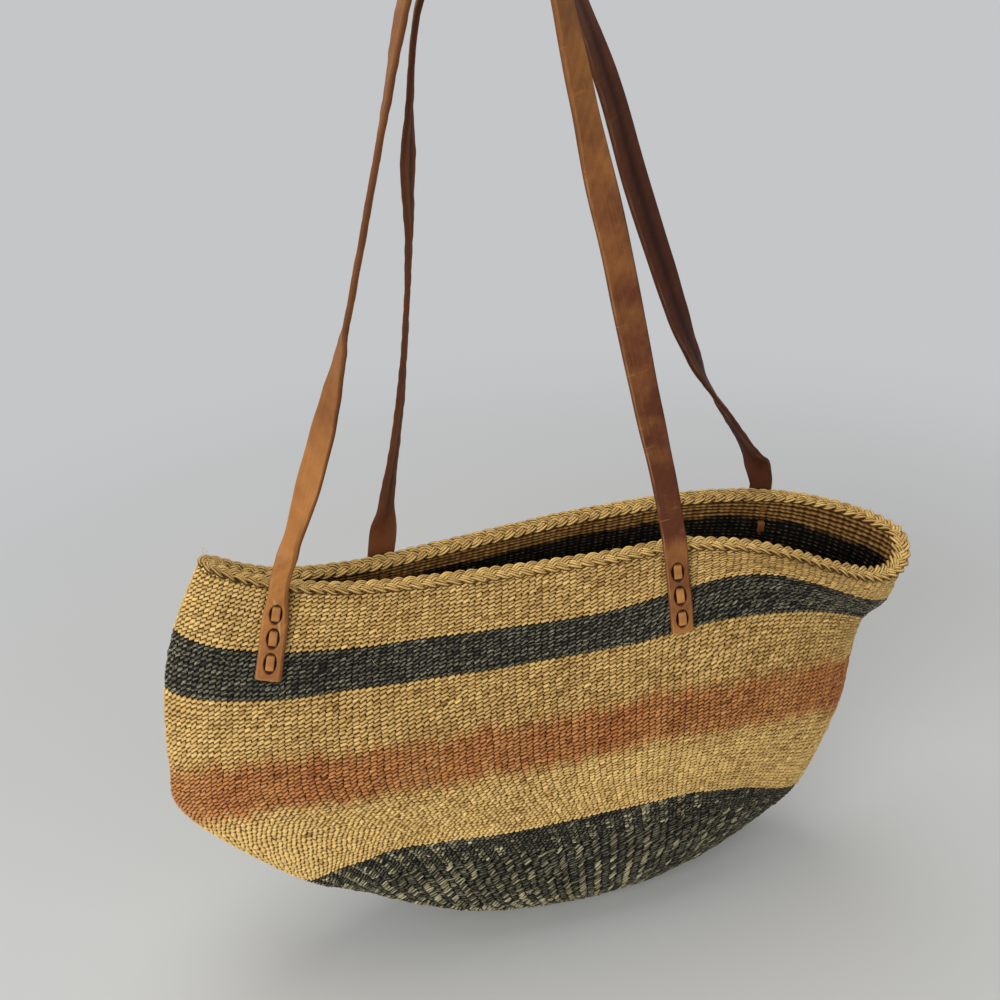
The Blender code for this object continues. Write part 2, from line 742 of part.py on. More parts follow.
def build():
    clear_scene()
    parts = new_collection(COLLECTION_NAME)
    cutters = new_collection(CUTTER_COLLECTION_NAME)
    cutters.hide_render = True
    natural = make_material("natural_sisal", (0.56, 0.38, 0.17), 0.9)
    charcoal = make_material("charcoal_sisal", (0.035, 0.038, 0.035), 0.9)
    rust = make_material("rust_sisal", (0.44, 0.17, 0.07), 0.9)
    mottled = make_material("mottled_sisal", (0.07, 0.068, 0.055), 0.9)
    plait = make_material("plaited_sisal", (0.50, 0.34, 0.15), 0.9)
    tan = make_material("tan_leather", (0.30, 0.10, 0.035), 0.55)
    brown = make_material("brown_leather", (0.16, 0.055, 0.025), 0.6)
    lacing = make_material("lace_leather", (0.36, 0.14, 0.05), 0.55)
    half_gap = BAND_GAP / 2
    under_braid = RIM_BRAID_WIDTH / 2 + BRAID_GAP
    top_band = build_band(
        "top_natural_band", RIM_ROW, CHARCOAL_TOP_ROW, TOP_BAND_STEPS, under_braid, parts, natural)
    dark_band = build_band(
        "charcoal_band", CHARCOAL_TOP_ROW, CHARCOAL_FOOT_ROW, CHARCOAL_BAND_STEPS, half_gap,
        parts, charcoal)
    build_band(
        "middle_natural_band", CHARCOAL_FOOT_ROW, RUST_TOP_ROW, WIDE_BAND_STEPS, half_gap,
        parts, natural)
    build_band("rust_band", RUST_TOP_ROW, RUST_FOOT_ROW, RUST_BAND_STEPS, half_gap, parts, rust)
    build_band(
        "lower_natural_band", RUST_FOOT_ROW, BASE_TOP_ROW, WIDE_BAND_STEPS, half_gap,
        parts, natural)
    build_band(
        "base_band", BASE_TOP_ROW, FOOT_ROW, BASE_BAND_STEPS, half_gap, parts, mottled,
        closed_foot=True)
    build_rim_braid(parts, plait)
    for tab in TAB_PLACE_SHARES:
        leather = tan if tab.startswith("front") else brown
        strap_end = build_strap_end(tab, parts, leather)
        slots = build_slot_cutter(tab, cutters)
        recesses = build_recess_cutter(tab, cutters)
        cut(strap_end, recesses)
        cut(strap_end, slots)
        cut(top_band, slots)
        cut(dark_band, slots)
        build_lace(tab, parts, lacing)
    build_handle("front", parts, tan)
    build_handle("back", parts, brown)


build()
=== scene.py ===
"""The finish of a handwoven sisal basket bag with two long leather shoulder straps.

The wall is twined stitch by stitch over upright ribs, the rim is a plait of three strands, each
strap runs in one piece from its lacing on one side to its lacing on the other, and loose fibres
stand off the yarn. Metres, +X along the mouth, -Y towards the front, +Z up.
"""
from collections import namedtuple
from math import cos, pi, radians, sin

import bpy
import numpy as np
from mathutils import Matrix, Vector


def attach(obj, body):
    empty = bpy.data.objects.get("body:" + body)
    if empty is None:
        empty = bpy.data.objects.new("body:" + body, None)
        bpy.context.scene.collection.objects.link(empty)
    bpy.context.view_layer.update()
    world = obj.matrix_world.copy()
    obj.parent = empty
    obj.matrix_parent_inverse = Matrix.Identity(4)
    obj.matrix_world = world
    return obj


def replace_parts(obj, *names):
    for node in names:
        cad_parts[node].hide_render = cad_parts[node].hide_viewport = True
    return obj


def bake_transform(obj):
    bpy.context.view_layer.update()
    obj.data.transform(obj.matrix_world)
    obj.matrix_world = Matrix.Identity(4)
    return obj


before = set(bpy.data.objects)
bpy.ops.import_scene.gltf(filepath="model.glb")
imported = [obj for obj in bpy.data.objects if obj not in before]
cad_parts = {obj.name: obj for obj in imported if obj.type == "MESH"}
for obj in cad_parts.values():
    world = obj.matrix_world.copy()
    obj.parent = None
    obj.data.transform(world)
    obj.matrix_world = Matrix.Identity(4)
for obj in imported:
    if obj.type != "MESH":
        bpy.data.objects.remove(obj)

# Sizes that the construction gives, in metres
BODY_LENGTH = 0.414
RIM_HEIGHT = 0.250
BODY_DEPTH = 0.096
WALL = 0.004
RIM_BRAID_WIDTH = 0.0076
SEAT_GAP = 0.0005
BRAID_GAP = 0.0008
STRAP_WIDTH = 0.0145
STRAP_END_WIDTH = 0.0125
STRAP_THICKNESS = 0.0029
STRAP_END_LENGTH = 0.0505
STRAP_RISE = 0.304
FOLD_ABOVE_BRAID = 0.002
STRAP_LEAVES_DROP = 0.0015
STRAP_SETTLES_DROP = 0.015
CROWN_SPACING = 0.0175
LACE_WIDTH = 0.0042
LACE_THICKNESS = 0.0014
LACE_TOP_TAIL = 0.0026
LACE_FOOT_TAIL = 0.006
LACE_BACK_GAP = 0.0012
STITCH_LENGTH = 0.0095
STITCH_PITCH = 0.0138
FIRST_STITCH_DROP = 0.0138
STITCH_COUNT = 3
RECESS_WIDTH = 0.0066
RECESS_LENGTH = 0.0118
RECESS_DEPTH = 0.0008

# The wall's level rows as shares of the rim's height, the body's length and the body's depth.
# Columns: height, left reach, right reach, left lift, right lift, front hump, front dip, front
# depth, back depth, right shift, gape, left round, right round. The two rows at the dark stripe's
# edges lie up to 3.3 mm off the solids' rows at the right end. Many of the numbers came out of a
# least-squares fit of this formula to edges that were measured in the photo.
ROW_SHARES = np.array((
    (1.017, -0.435, 0.480, 0.100, -0.105, 0.060, -0.198, 0.354, 0.375, -0.146, 0.190, 0.015, 0.16),
    (0.897, -0.484, 0.470, 0.070, -0.153, 0.071, 0.015, 0.396, 0.385, -0.104, 0.320, 0.080, 0.24),
    (0.818, -0.511, 0.447, 0.015, -0.160, 0.013, 0.114, 0.417, 0.406, -0.042, 0.600, 0.200, 0.34),
    (0.686, -0.532, 0.442, -0.059, -0.121, 0.000, 0.000, 0.448, 0.448, 0.000, 1.000, 0.400, 0.42),
    (0.569, -0.527, 0.429, -0.097, -0.162, 0.000, 0.000, 0.490, 0.490, 0.000, 1.000, 0.420, 0.42),
    (0.386, -0.397, 0.375, -0.185, -0.211, 0.000, 0.000, 0.491, 0.500, 0.000, 1.000, 0.440, 0.42),
    (0.127, -0.297, 0.301, 0.006, -0.019, 0.000, 0.000, 0.438, 0.448, 0.000, 1.000, 0.460, 0.46),
    (0.000, -0.155, 0.181, 0.000, 0.000, 0.000, 0.000, 0.250, 0.250, 0.000, 1.000, 0.500, 0.50),
))
RIM_ROW, CHARCOAL_TOP_ROW, CHARCOAL_FOOT_ROW, RUST_TOP_ROW, RUST_FOOT_ROW, BASE_TOP_ROW = range(6)
FOOT_ROW = 7
BACK_DEPTH_COLUMN = 8
LEFT_LIFT_SHARE = 0.30
RIGHT_LIFT_SHARE = 0.378
LEFT_LIFT_CURVE = 2.85
RIGHT_LIFT_CURVE = 2.07
HUMP_PLACE_SHARE = 0.76
HUMP_WIDTH_SHARE = 0.152
BACK_SINK_SHARE = 0.0169
BACK_SINK_SLOPE = 0.0052
BACK_SINK_ROWS = 2.0
BACK_SINK_BLEND = 2.0
GAPE_END_SHARE = 0.80
GAPE_CURVE = 1.35
SLOPE_STEP = 0.001

# Places of the strap ends along the mouth, as shares of the body's length from the origin
TAB_PLACE_SHARES = {
    "front_left": -0.348, "front_right": 0.132, "back_left": -0.217, "back_right": 0.320}

# How far each strap end leans to the right for each unit of its length
TAB_LEAN_SHARES = {
    "front_left": -0.27, "front_right": 0.06, "back_left": -0.18, "back_right": -0.05}

# Width of each strap end at the rim and at its foot, as shares of the end's width
END_WIDTH_SHARES = {
    "front_left": (0.80, 1.09), "front_right": (1.0, 0.97),
    "back_left": (1.18, 1.08), "back_right": (1.12, 1.0)}

# Share of the rise over which each leg widens from its end's width to the full width
LEG_WIDENS_SHARES = {
    "front_left": 0.16, "front_right": 0.42, "back_left": 0.20, "back_right": 0.16}

# Each leg of a strap from its fold to the crown: share of the rise, share of the way across. A
# separate program worked these shares out from the straps' edges in the photo.
LEG_SHARES = {
    "front_left": (
        (0.0, 0.0), (0.098, 0.109), (0.231, 0.247), (0.355, 0.363), (0.472, 0.459),
        (0.582, 0.546), (0.711, 0.646), (0.831, 0.738), (0.94, 0.852), (1.0, 1.0)),
    "front_right": (
        (0.0, 0.0), (0.105, 0.066), (0.246, 0.174), (0.376, 0.263), (0.496, 0.343),
        (0.609, 0.432), (0.766, 0.543), (0.86, 0.620), (0.95, 0.775), (1.0, 1.0)),
    "back_left": (
        (0.0, 0.0), (0.089, 0.069), (0.24, 0.205), (0.381, 0.302), (0.542, 0.387),
        (0.662, 0.425), (0.80, 0.498), (0.88, 0.575), (0.957, 0.745), (1.0, 1.0)),
    "back_right": (
        (0.0, 0.0), (0.05, 0.036), (0.14, 0.151), (0.23, 0.269), (0.33, 0.367),
        (0.46, 0.468), (0.60, 0.573), (0.76, 0.683), (0.93, 0.845), (1.0, 1.0)),
}

# Twist of each leg in degrees from the flat lie of the crown, against the share of the rise
LEG_TWISTS = {
    "front_left": (
        (0.0, -90), (0.07, -33), (0.12, -36), (0.18, -44), (0.24, -38), (0.295, -26),
        (0.355, -7), (0.42, 11), (0.64, 11), (0.72, 3), (0.82, -5), (1.0, 0)),
    "front_right": (
        (0.0, -90), (0.55, -88), (0.70, -60), (0.85, -45), (0.95, -18), (1.0, 0)),
    "back_left": (
        (0.0, 90), (0.09, 38), (0.17, 25), (0.24, 20), (0.38, 12), (0.46, 10), (0.54, 14),
        (0.60, 21), (0.662, 30), (0.745, 13), (0.82, 9), (1.0, 0)),
    "back_right": (
        (0.0, 90), (0.03, 62), (0.06, 24), (0.10, 9), (0.16, 4), (0.21, -9), (0.29, -42),
        (0.37, -63), (0.46, -72), (0.60, -72), (0.75, -60), (0.85, -45), (1.0, 0)),
}
CROWN_PLACE_SHARES = {"front": -0.053, "back": -0.024}
END_BLEND_SHARE = 0.07
NECK_SHARE = 0.16
NECK_LENGTH = 0.021

# Leather
STRAP_FACE_STEPS = 27
STRAP_EDGE_STEPS = 4
STRAP_EDGE = 0.0009
STRAP_CORNER = 0.0011
STRAP_CAMBER_SHARE = 0.10
STRAP_WOBBLE_SHARE = 0.018
STRAP_RIPPLE = 0.00016
STRAP_END_READINGS = 100
STRAP_FINE_STEP = 0.0005
STRAP_END_STEP = 0.0006
STRAP_LOOP_STEP = 0.0013
STRAP_END_REACH = 0.012
STRAP_SOFTENING = 30
SOFT_REACHES = (0.006, 0.016)
ROUTE_STEPS = 40
LAST_TAB_ROW = 2.6
WALK_STEP = 0.02
BACK_GROOVE = 0.00045
BACK_GROOVE_WIDTH = 0.0024
DENT_SHARE = 1.15
LIP_HEIGHT = 0.00014
CREASE_DROP = 0.003
CREASE_START = 0.0034
CREASE_REACH = 0.0071
CREASE_BEND_LENGTH = 0.0105
CREASE_WIDTH = 0.00042
CREASE_SHOWN = (0.0, 0.005, 0.022, 0.030)
CREASE_SHARE = 0.6
MARGIN_FADE = 0.03
MARGIN_REACHES = (0.01, 0.06)
WORN_END = 0.0012
LOOP_BLEND = 0.05
LACE_STEP = 0.00025
LACE_SOFTENING = 8
LACE_SIDES = 16
LACE_DOME = 0.0004
LACE_LIFT = 0.0013
LACE_TAPER_SHARE = 0.30
LACE_ROUND_SHARE = 0.3
# The back laces are darker: painted shade for their runs inside the bag.
LACE_TONES = {"front": 0.25, "back": 0.8}

# Each hide's light colour, dark colour and depth of grain
HIDES = {
    "tan": ((184, 124, 64), (88, 45, 26), 0.0003),
    "brown": ((130, 78, 44), (78, 40, 25), 0.0004),
    "lace": ((192, 132, 70), (112, 66, 36), 0.0003),
}

# How dark each strap is from its left foot to its right foot
STRAP_TONES = {
    "front": ((0, 0.42), (0.06, 0.28), (0.12, 0.30), (0.20, 0.52), (0.35, 0.62), (0.50, 0.58),
              (0.62, 0.55), (0.72, 0.75), (0.86, 0.95), (0.915, 1.05), (0.935, 0.65), (0.95, 0.80),
              (0.975, 0.70), (1, 0.42)),
    "back": ((0, 0.3), (0.10, 0.15), (0.25, 0.05), (0.40, 0.25), (0.55, 0.80), (0.75, 1.0),
             (0.90, 0.9), (1, 0.6)),
}

# The plaited rim and the loose fibres
BRAID_REPEATS = 44
BRAID_STEPS = 18
BRAID_SIDES = 8
BRAID_SOFTENING = 60
BRAID_TILT = 90
BRAID_TILT_CHANGE = 29
BRAID_SWAY = 0.00235
BRAID_SWELL = 0.27
BRAID_SWELL_TURNS = (0.37, 0.46, 0.54, 0.62)
BRAID_DEPTH = 0.0011
BRAID_YARN_RADIUS = 0.0008
BRAID_YARN_SPACING = 1.75
BRAID_YARN_WANDER = 0.00016
BRAID_YARN_RISE = 0.0002
BRAID_STITCH = 0.0037
FIBRE_COUNT = 130
FIBRE_RADIUS = 0.00008
FIBRE_STEPS = 7
FIBRE_START = 0.0002
RIM_FIBRE = {"rows": (0.0, 0.15), "lengths": (0.002, 0.007)}
WALL_FIBRE = {"rows": (0.3, 6.3), "lengths": (0.003, 0.009)}

# Twined weave
RING_READINGS = 1441
STITCHES = 240
ROW_PITCH = 0.00225
STITCH_SLANT = -0.72
CREST = 0.00050
PIT = -0.00095
REFERENCE_ROW = 3.6
THIN_ROW = 5.28
SEAM_SHARE = 0.965
SEAM_LENGTH_SHARE = 0.65
COLUMN_PHASES = {"outer": (0.0, 0.10, 0.36, 0.64, 0.90), "inner": (0.0, 0.5)}
ROW_PHASES = {"outer": (0.0, 0.34, 0.66), "inner": (0.0, 0.5)}
CROWN_CURVE = 0.5
ARCH_CURVE = 0.35
EDGE_RELIEF = 0.20
SIDE_RELIEF = 0.66
INNER_RELIEF_SHARE = 0.8
THIN_STEEPNESS = 0.8
RIB_PITS = (0.14, 0.16)
RIB_PIT_ROWS = (2.2, 3.2)
BASE_RIB_ROWS = (4.9, 5.4)
RESTING_ROWS = 0.12
RIB_BULGE = 0.0006
WAVE_BULGE = 0.0004
ROW_WANDER = 0.017
ROW_WANDER_ROWS = (0.0, 0.2, 6.0, 6.8)
SMOOTH_ROWS = (4.0, 4.6, 5.0, 5.3)
SWELL_SPREAD = 0.12
SLANT_SPREAD = 0.22
FLECK_SPREAD = 0.25
STITCH_NUDGE = 0.13
WEFT_NUDGE = 0.10
YARN_GROOVE = 0.0006
ROW_MAP_HEIGHT = 0.6

# The dyes: rows or turns over which each one fades, and shifts of lightness
DARK_START_ROW = 0.42
DARK_EDGE_ROWS = 0.015
RUST_TOP_FADE = (-0.24, 0.20)
RUST_FOOT_FADE = (-0.17, 0.15)
BEHIND_TURNS = (0.5, 0.56, 0.94, 1.0)
# From these turns the inner face alone takes the charcoal colour high up: painted shade inside the
# mouth.
INSIDE_TURNS = (0.38, 0.44)
# Shifts of lightness: the left end lighter with painted light, the lower band lighter, the base
# darker.
LEFT_PAINTED_LIGHT_TURNS = (0.03, 0.16)
LOWER_BAND_LIGHTENING = 0.14
BASE_DARKENING = 0.16
LEFT_PAINTED_LIGHT = 0.15

# The stage
FLOOR_SIZE = 14.0
FLOOR_LEVEL = -0.0005
FLOOR_COLOUR = (197, 197, 194)
FLOOR_FADE_START = 0.35
FLOOR_FADE_END = 0.95
BACKDROP_COLOUR = (196, 198, 200)
WORLD_COLOUR = (205, 207, 209)
WORLD_STRENGTH = 0.60
LAMP_AIM = (0.0, 0.0, 0.2)
LAMPS = (
    ("key_lamp", (-1.5, -1.3, 0.85), 1.5, 31.0),
    ("fill_lamp", (1.1, -1.4, 1.1), 1.6, 6.0),
    ("top_lamp", (-0.1, 0.25, 1.9), 1.4, 15.0),
)
CAMERA_PLACE = (-0.1184, -0.4684, 0.5598)
CAMERA_ANGLES = (-11.0, 30.0, -4.0)
FOCAL_PIXELS = 1072
IMAGE_PIXELS = 1000
SENSOR_WIDTH = 36.0

# A ring of woven points in its mesh, and what the stitches of a row have of their own
Ring = namedtuple("Ring", "first count stitches phase beads line")
Beads = namedtuple("Beads", "tone shift_u shift_v fleck swell shear nudge")


def smooth_step(low, high, value):
    share = np.clip((np.asarray(value, float) - low) / (high - low), 0.0, 1.0)
    return share * share * (3 - 2 * share)


def smooth_hill(places, value):
    """A value that rises from 0 to 1 between the first two places and falls between the others."""
    start, top, end, foot = places
    return smooth_step(start, top, value) * (1 - smooth_step(end, foot, value))


def smooth_between(before, start, end, after, share):
    """Values on a smooth curve that passes through start and end."""
    linear = (end - before) * share
    square = (2 * before - 5 * start + 4 * end - after) * share ** 2
    cube = (3 * start - before - 3 * end + after) * share ** 3
    return (2 * start + linear + square + cube) / 2


def unit(vectors):
    return vectors / np.maximum(np.linalg.norm(vectors, axis=-1, keepdims=True), 1e-12)


def lengths_along(places):
    """The length walked along a line up to each of its points."""
    steps = np.linalg.norm(np.diff(places, axis=0), axis=1)
    return np.concatenate([[0.0], np.cumsum(steps)])


def even_places(curve, count):
    """Shares of a sampled curve that cut it into stretches of one length."""
    walked = lengths_along(curve)
    goals = np.linspace(0.0, walked[-1], count + 1)
    return np.interp(goals, walked, np.linspace(0.0, 1.0, len(curve)))


def soften(values, passes, closed=False):
    """Rows of values evened out with their neighbours."""
    for _ in range(passes):
        if closed:
            values = (np.roll(values, 1, 0) + 2 * values + np.roll(values, -1, 0)) / 4
        else:
            middle = (values[:-2] + 2 * values[1:-1] + values[2:]) / 4
            values = np.concatenate([values[:1], middle, values[-1:]])
    return values


def ways_round(closed_line):
    return unit(np.roll(closed_line, -1, 0) - np.roll(closed_line, 1, 0))


def circle(sides):
    return np.linspace(0.0, 2 * pi, sides, endpoint=False)


def sweep(line, side, out, to_side, outward):
    """Rings of points round a line, from each point's distances to the side and outward."""
    return line[:, None] + side[:, None] * to_side[..., None] + out[:, None] * outward[..., None]


def column_noise(seed, columns, waves):
    """A smooth value round the basket, from about -1 to 1."""
    local = np.random.default_rng(seed)
    total = np.zeros_like(columns)
    for wave in waves:
        total = total + np.sin(2 * pi * (wave * columns + local.random())) * local.uniform(0.6, 1.0)
    return total / len(waves) * 1.4


def ripple(seed, first, second, waves):
    """A smooth value over two ways, from about -1 to 1."""
    local = np.random.default_rng(seed)
    total = 0.0
    for wave in waves:
        a, b, c = local.uniform(-1, 1), local.uniform(-1, 1), local.random()
        total = total + np.sin(2 * pi * (wave * (a * first + b * second) + c))
    return total / len(waves) * 1.4


def row_values(rows):
    """The table's columns at any rows, read smoothly between the rows of the table."""
    rows = np.clip(rows, 0.0, float(FOOT_ROW))
    index = np.minimum(rows.astype(int), FOOT_ROW - 1)
    first = 2 * ROW_SHARES[0] - ROW_SHARES[1]
    last = 2 * ROW_SHARES[-1] - ROW_SHARES[-2]
    table = np.vstack([first, ROW_SHARES, last])
    before, start, end, after = (table[index + step] for step in range(4))
    share = (rows - index)[..., None]
    return np.moveaxis(smooth_between(before, start, end, after, share), -1, 0)


def wall(rows, turns):
    """Points of the wall's outer face. Turn 0 is the left end, 0.25 the front, 0.5 the right.
    Past the foot row they run under the base to a seam along its middle."""
    rows, turns = np.broadcast_arrays(np.asarray(rows, float), np.asarray(turns, float))
    (height, left, right, left_lift, right_lift, hump, dip, front, back, shift, gape,
     left_round, right_round) = row_values(rows)
    angle = 2 * pi * turns
    along = (1 - np.cos(angle)) / 2
    left_end = np.sqrt(1 - np.maximum(0.0, 1 - along / left_round) ** 2)
    right_end = np.sqrt(1 - np.maximum(0.0, 1 - (1 - along) / right_round) ** 2)
    opening = 1 - np.maximum(0.0, 1 - along / GAPE_END_SHARE) ** GAPE_CURVE
    half = left_end * right_end * (gape + (1 - gape) * opening)
    right_part = np.maximum(0.0, 1 - (1 - along) / RIGHT_LIFT_SHARE)
    level = height + left_lift * np.maximum(0.0, 1 - along / LEFT_LIFT_SHARE) ** LEFT_LIFT_CURVE
    level = level + right_lift * right_part ** RIGHT_LIFT_CURVE
    from_hump = (along - HUMP_PLACE_SHARE) / HUMP_WIDTH_SHARE
    front_level = hump * np.exp(-from_hump ** 2) * left_end * right_end
    front_level = front_level + dip * right_part * np.sin(angle)
    sink = BACK_SINK_SHARE - BACK_SINK_SLOPE * (2 * along - 1)
    sink = sink * np.minimum(1.0, -BACK_SINK_BLEND * np.sin(angle))
    sink = sink * np.maximum(0.0, 1 - rows / BACK_SINK_ROWS)
    in_front = np.sin(angle) > 0
    level = level + np.where(in_front, front_level, -sink)
    depth = np.where(in_front, -front, back) * half + shift * np.maximum(0.0, 2 * along - 1)
    under = np.clip(rows - FOOT_ROW, 0.0, 1.0)
    middle = (left + right) / 2
    reach = left + (right - left) * along
    reach = middle + (reach - middle) * (1 - under * (1 - SEAM_LENGTH_SHARE))
    depth = depth * (1 - under)
    return np.stack([reach * BODY_LENGTH, depth * BODY_DEPTH, level * RIM_HEIGHT], -1)


def wall_frames(rows, turns):
    """Points of the wall with their outward normals, ways round and ways down."""
    place = wall(rows, turns)
    around = unit(wall(rows, turns + SLOPE_STEP) - wall(rows, turns - SLOPE_STEP))
    upper = np.maximum(rows - SLOPE_STEP, 0.0)
    down = unit(wall(upper + 2 * SLOPE_STEP, turns) - wall(upper, turns))
    outward = unit(np.cross(down, around))
    return place, outward, around, down


def rib_turns(rows, columns):
    """The turns at which the upright ribs cross a row. Ribs stay nearly level with themselves
    along the mouth on the upper rows and draw together towards the base."""
    fine = np.linspace(0.0, 1.0, RING_READINGS)
    walked = lengths_along(wall(np.full_like(fine, REFERENCE_ROW), fine))
    turns = np.interp(np.mod(columns, 1.0) * walked[-1], walked, fine)
    share = (1 - np.cos(2 * pi * turns)) / 2
    _, left_start, right_start = row_values(np.full_like(rows, REFERENCE_ROW))[:3]
    _, left, right = row_values(rows)[:3]
    power = 3.0 - 2.0 * smooth_step(RUST_FOOT_ROW - 0.6, BASE_TOP_ROW + 0.6, rows)
    reach = left_start + (right_start - left_start) * share
    reach = reach + (left - left_start) * (1 - share) ** power
    reach = reach + (right - right_start) * share ** power
    along = np.clip((reach - left) / (right - left), 0.0, 1.0)
    turn = np.arccos(1 - 2 * along) / (2 * pi)
    return np.where(turns <= 0.5, turn, 1 - turn)


def place_object(name, data):
    thing = bpy.data.objects.new(name, data)
    bpy.context.scene.collection.objects.link(thing)
    return thing


def add_values(thing, name, values, domain="POINT"):
    own = thing.data.attributes.new(name, "FLOAT", domain)
    own.data.foreach_set("value", np.asarray(values, np.float32).ravel())


def read_values(thing, name):
    values = np.zeros(len(thing.data.vertices), np.float32)
    thing.data.attributes[name].data.foreach_get("value", values)
    return values


class MeshParts:
    """One mesh gathered part by part: points, faces, and values for points, faces or corners."""

    def __init__(self):
        self.places, self.faces, self.kept = [], [], {}
        self.total = 0

    def keep(self, domain, **values):
        for name, value in values.items():
            self.kept.setdefault((domain, name), []).append(value)

    def build(self, name, material, slot, body="basket"):
        """The object. Each part of its faces has one row of corners a face."""
        mesh = bpy.data.meshes.new(name)
        loops = np.concatenate([part.ravel() for part in self.faces]).astype(np.int32)
        counts = np.concatenate([np.full(len(part), part.shape[1]) for part in self.faces])
        starts = np.concatenate([[0], np.cumsum(counts)[:-1]]).astype(np.int32)
        mesh.vertices.add(self.total)
        mesh.vertices.foreach_set("co", np.concatenate(self.places).astype(np.float32).ravel())
        mesh.loops.add(len(loops))
        mesh.loops.foreach_set("vertex_index", loops)
        mesh.polygons.add(len(counts))
        mesh.polygons.foreach_set("loop_start", starts)
        mesh.update(calc_edges=True)
        mesh.validate()
        mesh.shade_smooth()
        thing = place_object(name, mesh)
        for (domain, key), parts in self.kept.items():
            values = np.concatenate(parts)
            if domain == "CORNER":
                layer = mesh.uv_layers.new(name=key)
                layer.data.foreach_set("uv", values.astype(np.float32).ravel())
            else:
                add_values(thing, key, values, domain)
        mesh.materials.append(material)
        if body:
            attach(thing, body)
        return thing


class Nodes:
    """A node tree, with short ways to add and join nodes."""

    def __init__(self, tree):
        self.tree = tree

    def join(self, value, socket):
        """Joins a socket to another one, or sets it to a number or a colour."""
        if isinstance(value, bpy.types.NodeSocket):
            self.tree.links.new(value, socket)
        elif socket.type == "RGBA":
            socket.default_value = (*value, 1.0)
        else:
            socket.default_value = value

    def add(self, kind, settings=None, inputs=None):
        made = self.tree.nodes.new(kind)
        for name, value in (settings or {}).items():
            setattr(made, name, value)
        for name, value in (inputs or {}).items():
            self.join(value, made.inputs[name])
        return made

    def value(self, name):
        """One of the mesh's own values."""
        return self.add("ShaderNodeAttribute", {"attribute_name": name}).outputs["Fac"]

    def vectors(self, own_map):
        """The places on the mesh's own map, and the places in space."""
        mapped = self.add("ShaderNodeUVMap", {"uv_map": own_map}).outputs["UV"]
        return mapped, self.add("ShaderNodeTexCoord").outputs["Object"]

    def math(self, operation, first, second, clamp=False):
        settings = {"operation": operation, "use_clamp": clamp}
        return self.add("ShaderNodeMath", settings, {0: first, 1: second}).outputs[0]

    def times(self, first, second):
        return self.math("MULTIPLY", first, second)

    def plus(self, first, second):
        return self.math("ADD", first, second)

    def fit(self, value, low, high, to_low=0.0, to_high=1.0, curve="LINEAR"):
        """A value brought from one range to another and held there."""
        inputs = {"Value": value, "From Min": low, "From Max": high,
                  "To Min": to_low, "To Max": to_high}
        settings = {"interpolation_type": curve, "clamp": True}
        return self.add("ShaderNodeMapRange", settings, inputs).outputs["Result"]

    def mix(self, share, first, second, blend="MIX"):
        """Two colours mixed by a share."""
        settings = {"data_type": "RGBA", "blend_type": blend}
        return self.add("ShaderNodeMix", settings, {0: share, 6: first, 7: second}).outputs[2]

    def tint(self, share, colour, by):
        """A colour multiplied by another one, by a share."""
        return self.mix(share, colour, by, "MULTIPLY")

    def noise(self, vector, scale, detail, roughness, stretch=None):
        """Noise over places, which may be stretched along two ways first."""
        if stretch:
            inputs = {"Vector": vector, "Scale": (*stretch, 1.0)}
            vector = self.add("ShaderNodeMapping", {"vector_type": "POINT"}, inputs).outputs[0]
        inputs = {"Vector": vector, "Scale": scale, "Detail": detail, "Roughness": roughness}
        return self.add("ShaderNodeTexNoise", None, inputs).outputs["Fac"]

    def dress(self, shader, colour, height, strength, distance):
        """Gives a shader its colour and the fine relief of a height."""
        inputs = {"Height": height, "Strength": strength, "Distance": distance}
        bump = self.add("ShaderNodeBump", None, inputs)
        self.join(colour, shader.inputs["Base Color"])
        self.join(bump.outputs["Normal"], shader.inputs["Normal"])

    def cover(self, share, first, second, output):
        """Shows the second of two shaders by a share."""
        either = self.add("ShaderNodeMixShader", None, {"Fac": share, 1: first, 2: second})
        self.join(either.outputs[0], self.tree.nodes[output].inputs["Surface"])


def new_material(name, roughness, specular):
    """A material with its shader's own numbers set, its nodes and its shader."""
    material = bpy.data.materials.new(name)
    material.use_nodes = True
    shader = material.node_tree.nodes["Principled BSDF"]
    shader.inputs["Roughness"].default_value = roughness
    shader.inputs["Specular IOR Level"].default_value = specular
    return material, Nodes(material.node_tree), shader


def srgb(red, green, blue):
    """A colour given as eight-bit screen values, in the linear values that shaders use."""
    channels = []
    for value in (red, green, blue):
        value = value / 255
        channels.append(value / 12.92 if value <= 0.04045 else ((value + 0.055) / 1.055) ** 2.4)
    return tuple(channels)


def dark_yarn(nodes, yarn, lightness, relief):
    """The colour of charcoal yarn, with painted highlights: thin light glints along the fibres on
    the stitches' crests.
    """
    share = nodes.fit(lightness, 0.50, 1.10)
    colour = nodes.mix(share, srgb(15, 14, 10), srgb(54, 51, 38))
    glint = nodes.noise(yarn, 2.6, 2.0, 0.55, (0.9, 7.5))
    glint = nodes.times(nodes.fit(glint, 0.47, 0.60), nodes.fit(relief, 0.62, 0.98))
    light = nodes.mix(share, srgb(138, 132, 106), srgb(232, 223, 190))
    return nodes.mix(nodes.times(glint, 0.9), colour, light)


